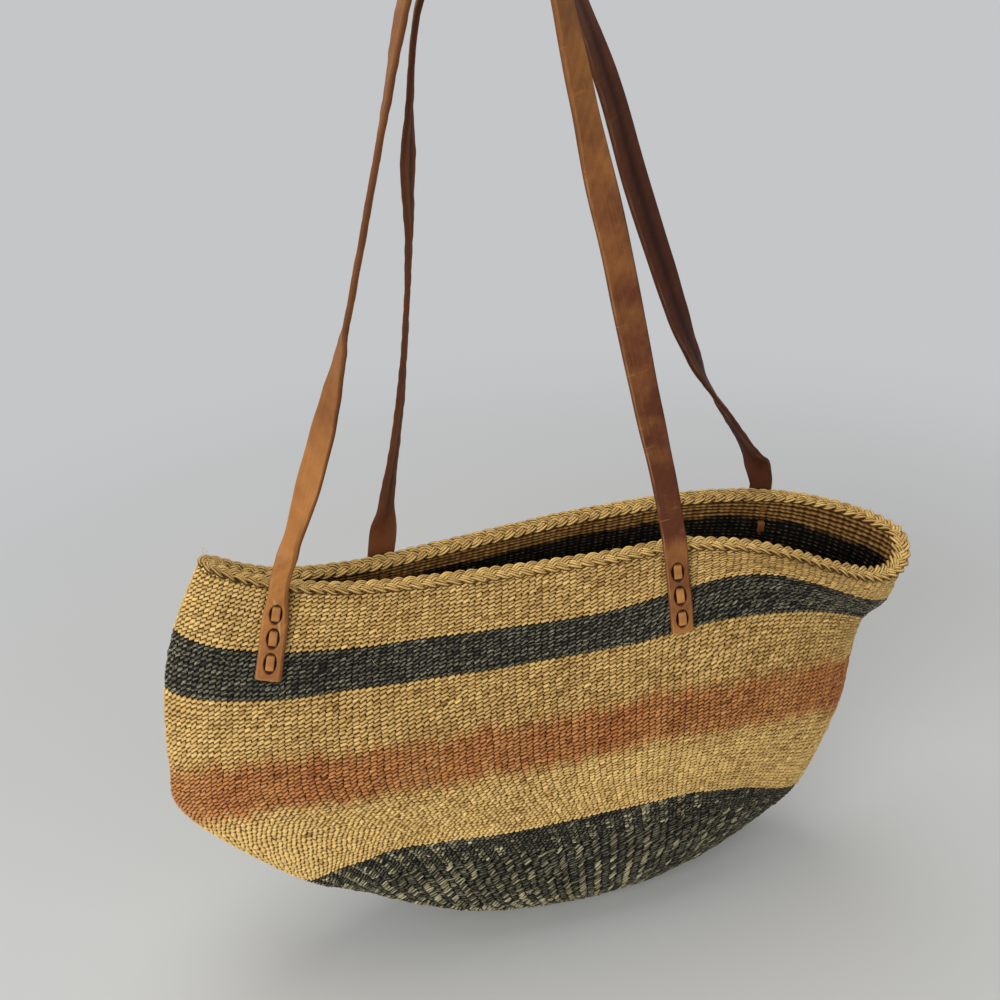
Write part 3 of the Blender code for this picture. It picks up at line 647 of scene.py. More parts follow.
def yarn_material(kind):
    """Sisal yarn: fibres that run along each stitch, painted shade in the hollows between the
    stitches, painted highlights on the crests, and each stitch a little lighter or darker than
    the next. The side inside the bag is darkened with painted shade."""
    material, nodes, shader = new_material(kind + "_yarn", 0.6, 0.16)
    yarn, place = nodes.vectors("yarn")
    fibre = nodes.noise(yarn, 2.2, 4.0, 0.62, (0.55, 6.5))
    strand = nodes.noise(yarn, 2.0, 2.0, 0.5, (0.7, 11.0))
    patches = nodes.noise(place, 26.0, 3.0, 0.6)
    relief = nodes.value("relief")
    lightness = nodes.plus(nodes.times(nodes.value("tone"), 0.085), fibre)
    lightness = nodes.plus(lightness, nodes.times(patches, 0.35))
    lightness = nodes.plus(lightness, nodes.value("lightness_shift_and_painted_light"))
    colour = dark_yarn(nodes, yarn, lightness, relief)
    if kind in ("natural", "rust"):
        dye = nodes.value("dye")
        share = nodes.fit(lightness, 0.40, 1.0)
        natural = nodes.mix(share, srgb(150, 107, 45), srgb(242, 200, 120))
        dyed = nodes.mix(share, srgb(138, 72, 27), srgb(206, 130, 68))
        # Painted highlights: pale glints along the fibres on the stitches' crests.
        pale = nodes.mix(dye, srgb(255, 236, 178), srgb(240, 188, 134))
        glint = nodes.times(nodes.fit(strand, 0.50, 0.66), nodes.fit(relief, 0.6, 0.95))
        light = nodes.mix(nodes.times(glint, 0.65), nodes.mix(dye, natural, dyed), pale)
        colour = nodes.mix(nodes.value("dark"), light, colour)
    elif kind == "mottled":
        share = nodes.fit(lightness, 0.45, 1.0)
        cream = nodes.mix(share, srgb(176, 163, 122), srgb(255, 246, 214))
        crest = nodes.times(nodes.fit(strand, 0.38, 0.52), nodes.fit(relief, 0.45, 0.80))
        fleck = nodes.plus(nodes.value("fleck"), nodes.value("cream"))
        colour = nodes.mix(nodes.times(nodes.fit(fleck, 0.35, 0.8), crest), colour, cream)
    # Painted shade: where the relief is low, between stitches and rows, the colour darkens towards
    # near black.
    pits = nodes.fit(relief, 0.22, 0.84, curve="SMOOTHSTEP")
    colour = nodes.mix(pits, nodes.tint(1.0, colour, (0.085, 0.052, 0.022)), colour)
    # Painted shade on the side inside the bag.
    colour = nodes.tint(nodes.times(nodes.value("inner"), 0.85), colour, (1.0, 0.84, 0.80))
    nodes.dress(shader, colour, fibre, 0.7, YARN_GROOVE)
    return material


def leather_material(name, light, dark, groove):
    """Leather: a grain, patches, creases across it, a dull inner side and lighter cut ends, with
    painted highlights on the lit edges and painted shade on the far edges, grooves and dents.
    """
    material, nodes, shader = new_material(name, 0.5, 0.16)
    own, place = nodes.vectors("leather")
    light, dark, pale_hide = srgb(*light), srgb(*dark), srgb(236, 206, 150)
    patches = nodes.noise(place, 55.0, 4.0, 0.6)
    grain = nodes.noise(place, 1900.0, 2.0, 0.6)
    streaks = nodes.noise(own, 1.0, 3.0, 0.6, (60.0, 900.0))
    crease = nodes.noise(own, 1.0, 2.0, 0.5, (650.0, 45.0))
    inner = nodes.value("inner")
    tone = nodes.plus(nodes.value("tone"), nodes.fit(patches, 0.3, 0.7, -0.17, 0.17))
    tone = nodes.plus(tone, nodes.fit(streaks, 0.25, 0.75, -0.07, 0.07))
    colour = nodes.mix(nodes.math("MULTIPLY", tone, 1.0, True), light, dark)
    colour = nodes.tint(nodes.fit(grain, 0.3, 0.7, 0.0, 0.35), colour, (0.62, 0.55, 0.5))
    colour = nodes.mix(nodes.times(nodes.fit(crease, 0.66, 0.74), 0.35), colour, light)
    # Painted shade in the back strap's groove.
    colour = nodes.tint(nodes.value("valley"), colour, (0.44, 0.38, 0.42))
    suede = nodes.mix(nodes.fit(grain, 0.35, 0.65), (0.56, 0.53, 0.53), (1.0, 0.95, 0.9))
    colour = nodes.tint(nodes.times(inner, 0.8), colour, suede)
    # Edges darker: the cut edge's own colour, and painted shade on the side turned from the lamps.
    colour = nodes.tint(nodes.times(nodes.value("edge"), 0.75), colour, (0.36, 0.27, 0.24))
    # Lighter edges: wear at the cut ends, and painted highlights along the lit edges.
    worn = nodes.times(nodes.value("worn"), nodes.fit(streaks, 0.40, 0.62))
    colour = nodes.mix(nodes.times(worn, 0.4), colour, nodes.mix(0.22, light, pale_hide))
    colour = nodes.mix(nodes.value("fold_line"), colour, nodes.mix(0.5, light, pale_hide))
    # Painted shade, with some stain: the lace dents, the far edge of the front ends, and the lace
    # where it dives into its holes.
    colour = nodes.tint(nodes.value("press"), colour, (0.10, 0.05, 0.035))
    rough = nodes.plus(nodes.fit(grain, 0.2, 0.8, 0.42, 0.62), nodes.times(inner, 0.2))
    nodes.join(rough, shader.inputs["Roughness"])
    height = nodes.plus(nodes.times(grain, 0.5), nodes.times(crease, 0.5))
    nodes.dress(shader, colour, height, 0.35, groove)
    return material


def join_rings(first, count, after, after_count):
    """Faces between two closed rings, which may have different numbers of points."""
    if count == after_count:
        a = np.arange(count)
        b = (a + 1) % count
        return np.stack([first + a, after + a, after + b, first + b], 1)
    ends = np.concatenate([
        np.arange(1, count + 1) / count, np.arange(1, after_count + 1) / after_count])
    on_upper = np.argsort(ends, kind="stable") < count
    i, j = np.cumsum(on_upper), np.cumsum(~on_upper)
    third = np.where(on_upper, first + i % count, after + j % after_count)
    upper = first + (i - on_upper) % count
    lower = after + (j - ~on_upper) % after_count
    return np.stack([upper, lower, third], 1)


def face_map(left, right, top, foot):
    """A map's corners for faces with four corners each, from the places of their sides."""
    left, right, top, foot = np.broadcast_arrays(left, right, top, foot)
    across = np.stack([left, left, right, right], 1)
    return np.stack([across, np.stack([top, foot, foot, top], 1)], -1)


class Weave(MeshParts):
    """The rings of points of one band, with the strips of faces between them."""

    def __init__(self):
        super().__init__()
        self.line = 0

    def ring(self, places, stitches, phase, beads, **values):
        made = Ring(self.total, len(places), stitches, phase, beads, self.line)
        self.places.append(places)
        self.keep("POINT", **values)
        self.total += len(places)
        self.line += 1
        return made

    def strip(self, upper, lower):
        """The faces between two rings, which belong to the stitches of the upper ring."""
        part = join_rings(upper.first, upper.count, lower.first, lower.count)
        stitches, beads, line = upper.stitches, upper.beads, upper.line
        share = np.arange(len(part)) / len(part)
        stitch = np.minimum((share * stitches + 1e-6).astype(int), stitches - 1)
        left = share * stitches - stitch
        right = left + stitches / len(part)
        end = lower.phase if lower.phase > upper.phase else lower.phase + 1.0
        shift_u, shift_v = beads.shift_u[stitch], beads.shift_v[stitch]
        yarn = face_map(left + shift_u, right + shift_u, upper.phase * ROW_MAP_HEIGHT + shift_v,
                        end * ROW_MAP_HEIGHT + shift_v)
        bake = face_map(share, share + 1 / len(part), line, line + 1.0)
        corners = part.shape[1]
        self.faces.append(part)
        self.keep("FACE", tone=beads.tone[stitch], fleck=beads.fleck[stitch])
        self.keep("CORNER", yarn=yarn[:, :corners].reshape(-1, 2),
                  OFBake=bake[:, :corners].reshape(-1, 2))

    def plain(self, part, bake):
        """Faces that belong to no stitch."""
        self.faces.append(part)
        self.keep("FACE", tone=np.zeros(len(part)), fleck=np.zeros(len(part)))
        self.keep("CORNER", yarn=np.zeros((part.size, 2)), OFBake=bake)

    def close_seam(self, ring, flip):
        """Joins the front and back of the last ring along the middle of the base."""
        count, line = ring.count, ring.line
        i = np.arange(count // 2)
        corners = np.stack([i, i + 1, (count - i - 1) % count, (count - i) % count], 1)
        part = ring.first + (corners[:, ::-1] if flip else corners)
        share = i[1:-1] / count
        self.plain(part[1:-1], face_map(share, share + 1 / count, line, line + 0.9).reshape(-1, 2))
        for end in part[[0, -1]]:
            three = np.array([list(dict.fromkeys(end.tolist()))])
            self.plain(three, np.tile([0.0, line], (three.size, 1)))

    def build(self, name, material, slot):
        """The object, with the long strips of its second map cut and laid side by side."""
        bake = np.concatenate(self.kept["CORNER", "OFBake"])
        folds = max(int(round((STITCHES * 3.7 / (self.line * 0.9)) ** 0.5)), 1)
        fold = np.minimum(np.floor(bake[:, 0] * folds * 0.99999), folds - 1)
        u = bake[:, 0] * folds - fold
        v = (fold + 0.98 * bake[:, 1] / self.line) / folds
        self.kept["CORNER", "OFBake"] = [np.stack([u, v], 1)]
        return super().build(name, material, slot)


def weave_line(weave, starts, weft, phase, side, stitches, beads):
    """One ring of points across a weft row, at a phase from its top to its foot."""
    marks = COLUMN_PHASES[side]
    stitch = np.repeat(np.arange(stitches), len(marks))
    u = np.tile(marks, stitches)
    inside = 0 < phase < 1
    on_border = phase == 1 or (weft == 0 and phase == 0)
    nudge = beads.nudge * (not on_border)
    nudge = nudge[stitch] * (1 - u) + nudge[(stitch + 1) % stitches] * u
    columns = (stitch + u + nudge) / stitches
    steep = 1 + THIN_STEEPNESS * (STITCHES / stitches - 1)
    slope = steep * (beads.shear[stitch] if inside else STITCH_SLANT)
    slant = np.where(u > 0, slope * (u - 0.5), 0.0)
    row = starts[weft] + (phase + slant) * (starts[weft + 1] - starts[weft])
    wander = ROW_WANDER * smooth_hill(ROW_WANDER_ROWS, row)
    row = row + wander * ripple(9, columns, row * 0.25, (7, 13, 23, 41))
    row = np.clip(row, 0.0, FOOT_ROW + SEAM_SHARE)
    place, outward, _, _ = wall_frames(row, rib_turns(row, columns))
    crown = sin(pi * phase) ** CROWN_CURVE if inside else 0.0
    arch = np.where(u > 0, np.sin(pi * u) ** ARCH_CURVE, 0.0)
    pair = np.clip(0.55 + 0.45 * column_noise(3, columns, (2, 5, 9)), 0.0, 1.0)
    gap = np.where((u == 0) & (stitch % 2 == 0), pair, 0.0)
    relief = EDGE_RELIEF + (1 - EDGE_RELIEF) * crown
    relief = relief * (SIDE_RELIEF + (1 - SIDE_RELIEF) * arch)
    ribbed = RIB_PITS[0] + RIB_PITS[1] * smooth_step(*RIB_PIT_ROWS, row)
    ribbed = ribbed - RIB_PITS[0] * smooth_hill(SMOOTH_ROWS, row)
    relief = relief * np.where(u > 0, beads.swell[stitch], 1.0) - ribbed * gap
    height = PIT + (CREST - PIT) * relief
    rib = 0.5 - 0.5 * np.cos(2 * pi * columns * stitches / 2)
    height = height + RIB_BULGE * (1 + smooth_step(*BASE_RIB_ROWS, row)) * (rib - 0.5) * pair
    height = height + WAVE_BULGE * column_noise(7, columns + 0.03 * row, (3, 7, 13, 19))
    if side == "inner":
        height = -WALL - INNER_RELIEF_SHARE * height
    else:
        resting = smooth_step(FOOT_ROW - RESTING_ROWS, FOOT_ROW, row)
        height = height - resting * np.maximum(height, 0.0)
    return weave.ring(
        place + outward * height[..., None], stitches, phase, beads, relief=relief, weft_row=row,
        column=columns, inner=np.full(len(columns), float(side == "inner")))


def weft_rows(top_row, foot_row):
    """The rows at which one band's weft rows start, evenly spaced down the front and, past the
    foot row, under the base."""
    last = min(foot_row, FOOT_ROW)
    fine = np.linspace(top_row, last, 400)
    curve = wall(fine, np.full_like(fine, 0.25))
    count = max(int(round(lengths_along(curve)[-1] / ROW_PITCH)), 1)
    starts = top_row + (last - top_row) * even_places(curve, count)
    if foot_row > FOOT_ROW:
        under = ROW_SHARES[FOOT_ROW, BACK_DEPTH_COLUMN] * BODY_DEPTH
        count = int(round(under / ROW_PITCH))
        starts = np.concatenate([starts, FOOT_ROW + SEAM_SHARE * np.arange(1, count + 1) / count])
    return starts


def stitch_beads(local, stitches, weft):
    """What each stitch of a weft row has of its own: tone, place in the yarn, fleck, fullness,
    slant and a nudge along the row."""
    tone = local.normal(0.0, 1.0, stitches)
    shift_u, shift_v = local.uniform(0, 40, stitches), local.uniform(0, 40, stitches)
    columns = (np.arange(stitches) + 0.5) / stitches
    second = (np.arange(stitches) * STITCHES // (2 * stitches)) % 2
    patches = column_noise(17, columns + 0.013 * weft, (4, 11, 23, 37))
    fleck = second * (0.6 + 0.5 * patches) + FLECK_SPREAD * local.normal(0.0, 1.0, stitches)
    swell = 1 + SWELL_SPREAD * local.normal(0.0, 1.0, stitches)
    shear = STITCH_SLANT * (1 + SLANT_SPREAD * local.normal(0.0, 1.0, stitches))
    nudge = local.uniform(-STITCH_NUDGE, STITCH_NUDGE, stitches)
    nudge = nudge + local.uniform(-WEFT_NUDGE, WEFT_NUDGE)
    return Beads(tone, shift_u, shift_v, fleck, swell, shear, nudge)


def build_band(name, cad_node, top_row, foot_row, material, slot, seed):
    """One stripe: every stitch of its weft rows as its own slanted bead, inside and outside."""
    local = np.random.default_rng(seed)
    starts = weft_rows(top_row, foot_row)
    weave = Weave()
    wefts = range(len(starts) - 1)
    counts = [STITCHES // 2 if starts[weft] >= THIN_ROW else STITCHES for weft in wefts]
    beads = [stitch_beads(local, counts[weft], weft) for weft in wefts]
    chains = {}
    for side in ("outer", "inner"):
        lines = [(weft, phase) for weft in wefts for phase in ROW_PHASES[side]]
        lines.append((wefts[-1], 1.0))
        if side == "inner":
            lines.reverse()
        chain = chains[side] = [
            weave_line(weave, starts, weft, phase, side, counts[weft], beads[weft])
            for weft, phase in lines]
        for upper, lower in zip(chain, chain[1:]):
            weave.strip(upper, lower)
    outer, inner = chains["outer"], chains["inner"]
    if foot_row > FOOT_ROW:
        weave.close_seam(outer[-1], False)
        weave.close_seam(inner[0], True)
    else:
        weave.strip(outer[-1], inner[0])
    weave.strip(inner[-1], outer[0])
    thing = weave.build(name, material, slot)
    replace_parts(thing, cad_node)
    return thing


def add_dyes(thing):
    """Marks how much rust or dark dye each point of the yarn has taken, with the charcoal colour
    also carried round the inner face near the front's right end as painted shade; how much
    lighter or darker each point is, the left end lighter with painted light; and how much cream
    yarn is twined into the base."""
    rows, columns = read_values(thing, "weft_row"), read_values(thing, "column")
    inner = read_values(thing, "inner")
    streak = column_noise(31, columns, (3, 8, 17, 29)) * 0.10
    streak = streak + column_noise(32, columns, (47, 61, 120)) * 0.09
    top = smooth_step(*RUST_TOP_FADE, rows - RUST_TOP_ROW + streak)
    foot = smooth_step(*RUST_FOOT_FADE, RUST_FOOT_ROW - rows - streak * 0.8)
    patch = 0.88 + 0.12 * column_noise(33, columns + 0.02 * rows, (5, 12, 21))
    add_values(thing, "dye", top * foot * patch)
    turns = rib_turns(rows.astype(float), columns.astype(float))
    behind = smooth_hill(BEHIND_TURNS, turns)
    # The inner face alone takes the charcoal colour round to the front's right end: painted shade
    # inside the mouth.
    behind = np.maximum(behind, inner * smooth_step(*INSIDE_TURNS, turns) * (turns < 0.6))
    start = CHARCOAL_TOP_ROW - (CHARCOAL_TOP_ROW - DARK_START_ROW) * behind
    start = start + 0.03 * column_noise(35, columns, (9, 21, 40))
    dark = smooth_step(-DARK_EDGE_ROWS, DARK_EDGE_ROWS, rows - start) * (behind > 0.02)
    add_values(thing, "dark", dark * (rows < CHARCOAL_TOP_ROW + 0.5))
    in_base = smooth_step(BASE_TOP_ROW - 0.01, BASE_TOP_ROW, rows)
    # Lighter below the rust stripe, darker in the base.
    lightness_shift_and_painted_light = LOWER_BAND_LIGHTENING * smooth_step(RUST_FOOT_ROW - 0.2, RUST_FOOT_ROW + 0.4, rows)
    lightness_shift_and_painted_light = lightness_shift_and_painted_light * (1 - in_base) - BASE_DARKENING * in_base
    # The left end is lightened: painted light.
    at_left = 1 - smooth_step(*LEFT_PAINTED_LIGHT_TURNS, np.minimum(turns, 1 - turns))
    add_values(thing, "lightness_shift_and_painted_light", lightness_shift_and_painted_light + LEFT_PAINTED_LIGHT * at_left * (rows < BASE_TOP_ROW))
    cream = 0.36 * smooth_step(BASE_TOP_ROW + 0.1, FOOT_ROW - 0.3, rows) - 0.16
    cream = cream - 0.25 * smooth_step(0.24, 0.40, turns) * (turns < 0.5)
    add_values(thing, "cream", cream + 0.18 * column_noise(34, columns, (3, 7, 15)))


class Tubes(MeshParts):
    """Tubes in one mesh. Each has its own strips of the map that finishes are worked out on,
    and a map in its own lengths."""

    def __init__(self, own_map, tubes, folds):
        super().__init__()
        self.own_map, self.strips, self.folds = own_map, tubes * folds, folds

    def add(self, rings, length, girth, values, shift=(0.0, 0.0), closed=False):
        count, points = rings.shape[:2]
        spans = count if closed else count - 1
        ring, point = np.divmod(np.arange(spans * points), points)
        rings_at = np.stack([ring, ring, ring + 1, ring + 1], 1)
        points_at = np.stack([point, point + 1, point + 1, point], 1)
        self.faces.append(self.total + (rings_at % count) * points + points_at % points)
        along, around = rings_at / spans, points_at / points
        own = np.stack([along * length + shift[0], around * girth + shift[1]], -1)
        fold = np.minimum((along[:, :1] * self.folds + 1e-6).astype(int), self.folds - 1)
        u = np.clip(along * self.folds - fold, 0.0, 1.0)
        v = (len(self.places) * self.folds + fold + 0.03 + 0.94 * around) / self.strips
        bake = np.stack([u, v], -1)
        self.keep("CORNER", **{self.own_map: own.reshape(-1, 2), "OFBake": bake.reshape(-1, 2)})
        if not closed:
            caps = np.arange(points)[None]
            self.faces += [self.total + caps[:, ::-1], self.total + (count - 1) * points + caps]
            for number in (0, -1):
                self.keep("CORNER", **{self.own_map: np.tile(own[number, 0], (points, 1)),
                                       "OFBake": np.tile(bake[0, 0], (points, 1))})
        self.places.append(rings.reshape(-1, 3))
        self.keep("POINT", **{
            name: np.broadcast_to(value, (count, points)).reshape(-1)
            for name, value in values.items()})
        self.total += count * points


def strap_offset(drops):
    """How far the strap's middle stands off the wall, higher where it passes the braid."""
    on_wall = SEAT_GAP + STRAP_THICKNESS / 2
    on_braid = RIM_BRAID_WIDTH / 2 - WALL / 2 + BRAID_GAP + STRAP_THICKNESS / 2
    settled = smooth_step(STRAP_LEAVES_DROP, STRAP_SETTLES_DROP, drops)
    return on_wall + (on_braid - on_wall) * (1 - settled)


def turns_at(rows, x, side):
    """The turns at which rows pass places along the mouth, in front or behind."""
    _, left, right = row_values(rows)[:3]
    along = np.clip((x / BODY_LENGTH - left) / (right - left), 0.0, 1.0)
    turns = np.arccos(1 - 2 * along) / (2 * pi)
    return turns if side == "front" else 1 - turns


class StrapEnd:
    """The line that one strap end follows down the wall, with the frames along it."""

    def __init__(self, tab):
        self.side = tab.split("_")[0]
        self.start = TAB_PLACE_SHARES[tab] * BODY_LENGTH
        self.lean = TAB_LEAN_SHARES[tab]
        self.rows = np.arange(0.0, LAST_TAB_ROW, WALK_STEP)
        walked = [0.0]
        last = wall(0.0, turns_at(self.rows[0], self.start, self.side))
        for row in self.rows[1:]:
            x = self.start + self.lean * walked[-1]
            place = wall(row, turns_at(row, x, self.side))
            walked.append(walked[-1] + np.linalg.norm(place - last))
            last = place
        self.walked = np.array(walked)

    def lie(self, drops):
        """The rows and turns under the strap end's middle line."""
        rows = np.interp(drops, self.walked, self.rows)
        return rows, turns_at(rows, self.start + self.lean * drops, self.side)

    def ways(self, drops):
        upper = np.maximum(drops - STRAP_THICKNESS, 0.0)
        lower = upper + 2 * STRAP_THICKNESS
        return unit(wall(*self.lie(lower)) - wall(*self.lie(upper)))

    def frames(self, drops):
        """Middles of the strap end, with its outward normals and its ways down."""
        on_wall = np.maximum(np.asarray(drops, float), 0.0)
        rows, turns = self.lie(on_wall)
        place, outward, _, _ = wall_frames(rows, turns)
        step = wall(rows, turns + SLOPE_STEP) - place
        turn_step = SLOPE_STEP / np.linalg.norm(step, axis=-1)
        sag = np.zeros(np.shape(on_wall))
        for share in (-1.0, -0.5, 0.5, 1.0):
            near = wall(rows, turns + share * STRAP_END_WIDTH / 2 * turn_step) - place
            sag = np.maximum(sag, (near * outward).sum(-1))
        middle = place + outward * (strap_offset(drops) + sag)[..., None]
        return middle, outward, self.ways(on_wall)

    def fold(self):
        """Where the strap folds: outside the braid and a little above it."""
        place, outward, _, _ = wall_frames(*self.lie(np.array(0.0)))
        rise = RIM_BRAID_WIDTH / 2 + FOLD_ABOVE_BRAID
        return place + outward * strap_offset(0.0) - self.ways(np.array(0.0)) * rise


def smooth_curve(points, steps):
    """A smooth curve through points, with this many stretches between each two of them."""
    padded = np.vstack([2 * points[0] - points[1], points, 2 * points[-1] - points[-2]])
    share = np.linspace(0.0, 1.0, steps, endpoint=False)[:, None]
    fours = zip(padded, padded[1:], padded[2:], padded[3:])
    return np.concatenate([smooth_between(*four, share) for four in fours] + [points[-1:]])


def read_table(table, shares):
    """Values read along a table of (share, value) pairs, eased between them."""
    starts, values = np.array(table, float).T
    index = np.clip(np.searchsorted(starts, shares) - 1, 0, len(starts) - 2)
    part = smooth_step(starts[index], starts[index + 1], shares)
    return values[index] + (values[index + 1] - values[index]) * part


def read_along(goals, walked, values):
    """Rows of values read at lengths along a line."""
    return np.stack([np.interp(goals, walked, column) for column in values.T], -1)


def leg_curve(tab, fold, crown):
    """A leg's points from its fold to the crown."""
    rise, over = np.array(LEG_SHARES[tab]).T
    lean = (smooth_step(0.0, 1.0, rise) + rise) / 2
    return fold + (crown - fold) * np.stack([over, lean, rise], -1)


def strap_line(side):
    """A strap's middle line from its left foot over the crown to its right foot, with the
    outward way, half the width and the drop below the rim at each point."""
    tabs = left, right = side + "_left", side + "_right"
    ends = {tab: StrapEnd(tab) for tab in tabs}
    folds = {tab: ends[tab].fold() for tab in tabs}
    axis = unit(folds[right] - folds[left])
    sign = -1 if side == "front" else 1
    crown = np.array((
        CROWN_PLACE_SHARES[side] * BODY_LENGTH, sign * CROWN_SPACING / 2,
        (folds[left][2] + folds[right][2]) / 2 + STRAP_RISE))
    legs = {tab: leg_curve(tab, folds[tab], crown) for tab in tabs}
    loop = smooth_curve(np.vstack([legs[left], legs[right][-2::-1]]), ROUTE_STEPS)
    is_left = np.arange(len(loop)) <= (len(legs[left]) - 1) * ROUTE_STEPS

    def of_leg(value):
        return np.where(is_left, value(left), value(right))

    start_z = of_leg(lambda tab: folds[tab][2])
    rise = np.clip((loop[:, 2] - start_z) / (crown[2] - start_z), 0.0, 1.0)
    twist = np.radians(of_leg(lambda tab: read_table(LEG_TWISTS[tab], rise)))[:, None]
    tangent = unit(np.gradient(loop, axis=0))
    flat = unit(np.cross(tangent, (0.0, 1.0, 0.0)))
    cross = unit(np.cross(flat, tangent))
    cross = cross * np.where(cross[:, 1:2] > 0, 1.0, -1.0)
    fold_outward = unit(np.array((0.0, 1.0, 0.0)) - axis * axis[1]) * sign
    blend = smooth_step(0.0, END_BLEND_SHARE, rise)[:, None]
    outward = flat * np.cos(twist) + cross * np.sin(twist)
    outward = unit(fold_outward * (1 - blend) + outward * blend)
    neck = of_leg(lambda tab: END_WIDTH_SHARES[tab][0])
    waist = neck + (1 - neck) * smooth_step(0.0, NECK_SHARE, rise)
    widened = smooth_step(0.0, of_leg(LEG_WIDENS_SHARES.get), rise)
    wide = STRAP_END_WIDTH + (STRAP_WIDTH - STRAP_END_WIDTH) * widened
    drops = np.linspace(0.0, STRAP_END_LENGTH, STRAP_END_READINGS)
    parts = {}
    for tab in tabs:
        middle, face, _ = ends[tab].frames(drops)
        neck, foot = END_WIDTH_SHARES[tab]
        share = neck + (foot - neck) * smooth_step(0.0, NECK_LENGTH, drops)
        parts[tab] = np.column_stack([middle, face, STRAP_END_WIDTH / 2 * share, drops])
    above = np.full(len(loop), -STRAP_THICKNESS)
    middle = np.column_stack([loop, outward, wide / 2 * waist, above])
    values = np.vstack([parts[left][::-1], middle, parts[right]])
    walked = lengths_along(values[:, :3])
    even = np.arange(0.0, walked[-1], STRAP_FINE_STEP)
    values = read_along(even, walked, values)
    softened = soften(values, STRAP_SOFTENING)
    from_fold = np.min([np.linalg.norm(values[:, :3] - folds[tab], axis=1) for tab in tabs], 0)
    share = (1 - smooth_step(*SOFT_REACHES, from_fold))[:, None]
    soft_places = values[:, :3] * (1 - share) + softened[:, :3] * share
    values = np.column_stack([soft_places, softened[:, 3:7], values[:, 7]])
    ends_at = STRAP_END_LENGTH + STRAP_END_REACH
    goals = np.concatenate([
        np.arange(0.0, ends_at, STRAP_END_STEP),
        np.arange(ends_at, even[-1] - ends_at, STRAP_LOOP_STEP),
        np.linspace(even[-1] - ends_at, even[-1], int(ends_at / STRAP_END_STEP))])
    values = read_along(goals, even, values)
    return goals, values[:, :3], unit(values[:, 3:6]), values[:, 6], values[:, 7], folds, axis


def strip_section():
    """A flat strip's section: shares across, shares of the rounded edge, and the level, from
    the outer face round the edges and the inner face."""
    face = np.linspace(1.0, -1.0, STRAP_FACE_STEPS)
    turn = np.linspace(0.0, pi, STRAP_EDGE_STEPS + 2)[1:-1]
    share = np.concatenate([face, -np.ones(len(turn)), face[::-1], np.ones(len(turn))])
    edge = np.concatenate([0 * face, -np.sin(turn), 0 * face, np.sin(turn)])
    level = np.concatenate([0 * face + 1, np.cos(turn), 0 * face - 1, -np.cos(turn)])
    return share, edge, level


def build_strap(side, material, slot):
    """One strap in one piece, with the dents that its laces have pulled into its ends."""
    goals, places, outward, half, drop, folds, axis = strap_line(side)
    tangent = unit(np.gradient(places, axis=0))
    across = unit(np.cross(outward, tangent))
    outward = np.cross(tangent, across)
    share, edge, level = strip_section()
    outer_face, faces = level > 0.99, np.abs(level) > 0.99
    from_end = np.minimum(goals, goals[-1] - goals)[:, None]
    along, drop, half = goals[:, None], drop[:, None], half[:, None]
    to_corner = np.maximum(STRAP_CORNER - from_end, 0.0)
    inset = STRAP_CORNER - np.sqrt(np.maximum(STRAP_CORNER ** 2 - to_corner ** 2, 0.0))
    wobble = 1 + STRAP_WOBBLE_SHARE * ripple(5, along * 30, 0, (1, 2.3, 5.1))
    wide = half * wobble - inset
    in_left = along < goals[-1] / 2
    a = share * (wide - STRAP_EDGE) + edge * STRAP_EDGE
    b = level * (STRAP_THICKNESS / 2 * (1 - STRAP_CAMBER_SHARE * share ** 2))
    b = b + STRAP_RIPPLE * ripple(11, along * 46, a * 70, (1, 1.9, 3.3)) * faces
    in_loop = smooth_step(0.0, LOOP_BLEND, from_end - STRAP_END_LENGTH)
    valley = np.exp(-(a / BACK_GROOVE_WIDTH) ** 2) * in_loop * (side == "back")
    b = b - level * BACK_GROOVE * valley
    press = np.zeros(a.shape)
    for stitch in range(STITCH_COUNT):
        middle = FIRST_STITCH_DROP + stitch * STITCH_PITCH
        q = np.hypot(a / (RECESS_WIDTH / 2), (drop - middle) / (RECESS_LENGTH / 2))
        dent = (1 - smooth_step(0.86, 1.05, q)) * outer_face * (drop > 0)
        lip = np.exp(-((q - 1.2) / 0.12) ** 2) * outer_face * (drop > 0)
        b = b - DENT_SHARE * RECESS_DEPTH * dent + LIP_HEIGHT * lip
        # The dents are darkened: painted shade, with some stain.
        press = np.maximum(press, (1 - smooth_step(0.95, 1.06, q)) * (dent > 0))
    lit = share * np.where(in_left, 1.0, -1.0)
    # The edge on the lit side is lightened as a painted highlight, and the cut ends by wear.
    worn = (lit > 0.93) * (1 - np.abs(edge)) + 0.8 * (from_end < WORN_END)
    fold_line = np.zeros(a.shape)
    if side == "front":
        below = drop - CREASE_DROP
        bend = 1 - np.exp(-np.maximum(below, 0.0) / CREASE_BEND_LENGTH)
        shown = smooth_hill(CREASE_SHOWN, below)
        from_line = a - CREASE_START + CREASE_REACH * bend
        line = np.exp(-(from_line / CREASE_WIDTH) ** 2) * in_left
        fold_line = CREASE_SHARE * line * shown * outer_face
        # Along the front ends the edge turned from the lamps is darkened: painted shade.
        margin = 0.26 - 0.16 * smooth_step(0.0, MARGIN_FADE, drop)
        margin = (lit < margin - 1) * outer_face * in_left
        near_end = 1 - smooth_step(*MARGIN_REACHES, from_end - STRAP_END_LENGTH)
        press = np.maximum(press, 0.5 * margin * near_end)
    tubes = Tubes("leather", 1, 5)
    tubes.add(sweep(places, across, outward, a, b), goals[-1], 4 * half.mean(), {
        "tone": read_table(STRAP_TONES[side], along / goals[-1]), "press": press,
        "inner": (level < -0.9) * 1.0, "worn": worn, "fold_line": fold_line,
        # Edges darker, and twice as dark on the side turned from the lamps: painted shade.
        "edge": np.clip(np.abs(edge) ** 0.5 * (1.0 - 0.5 * (lit > 0)), 0.0, 1.0),
        "valley": valley * faces})
    strap = tubes.build(side + "_strap", material, slot, None)
    strap.data.set_sharp_from_angle(angle=radians(55))
    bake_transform(strap)
    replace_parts(strap, side + "_left_strap_end", side + "_right_strap_end", side + "_handle")


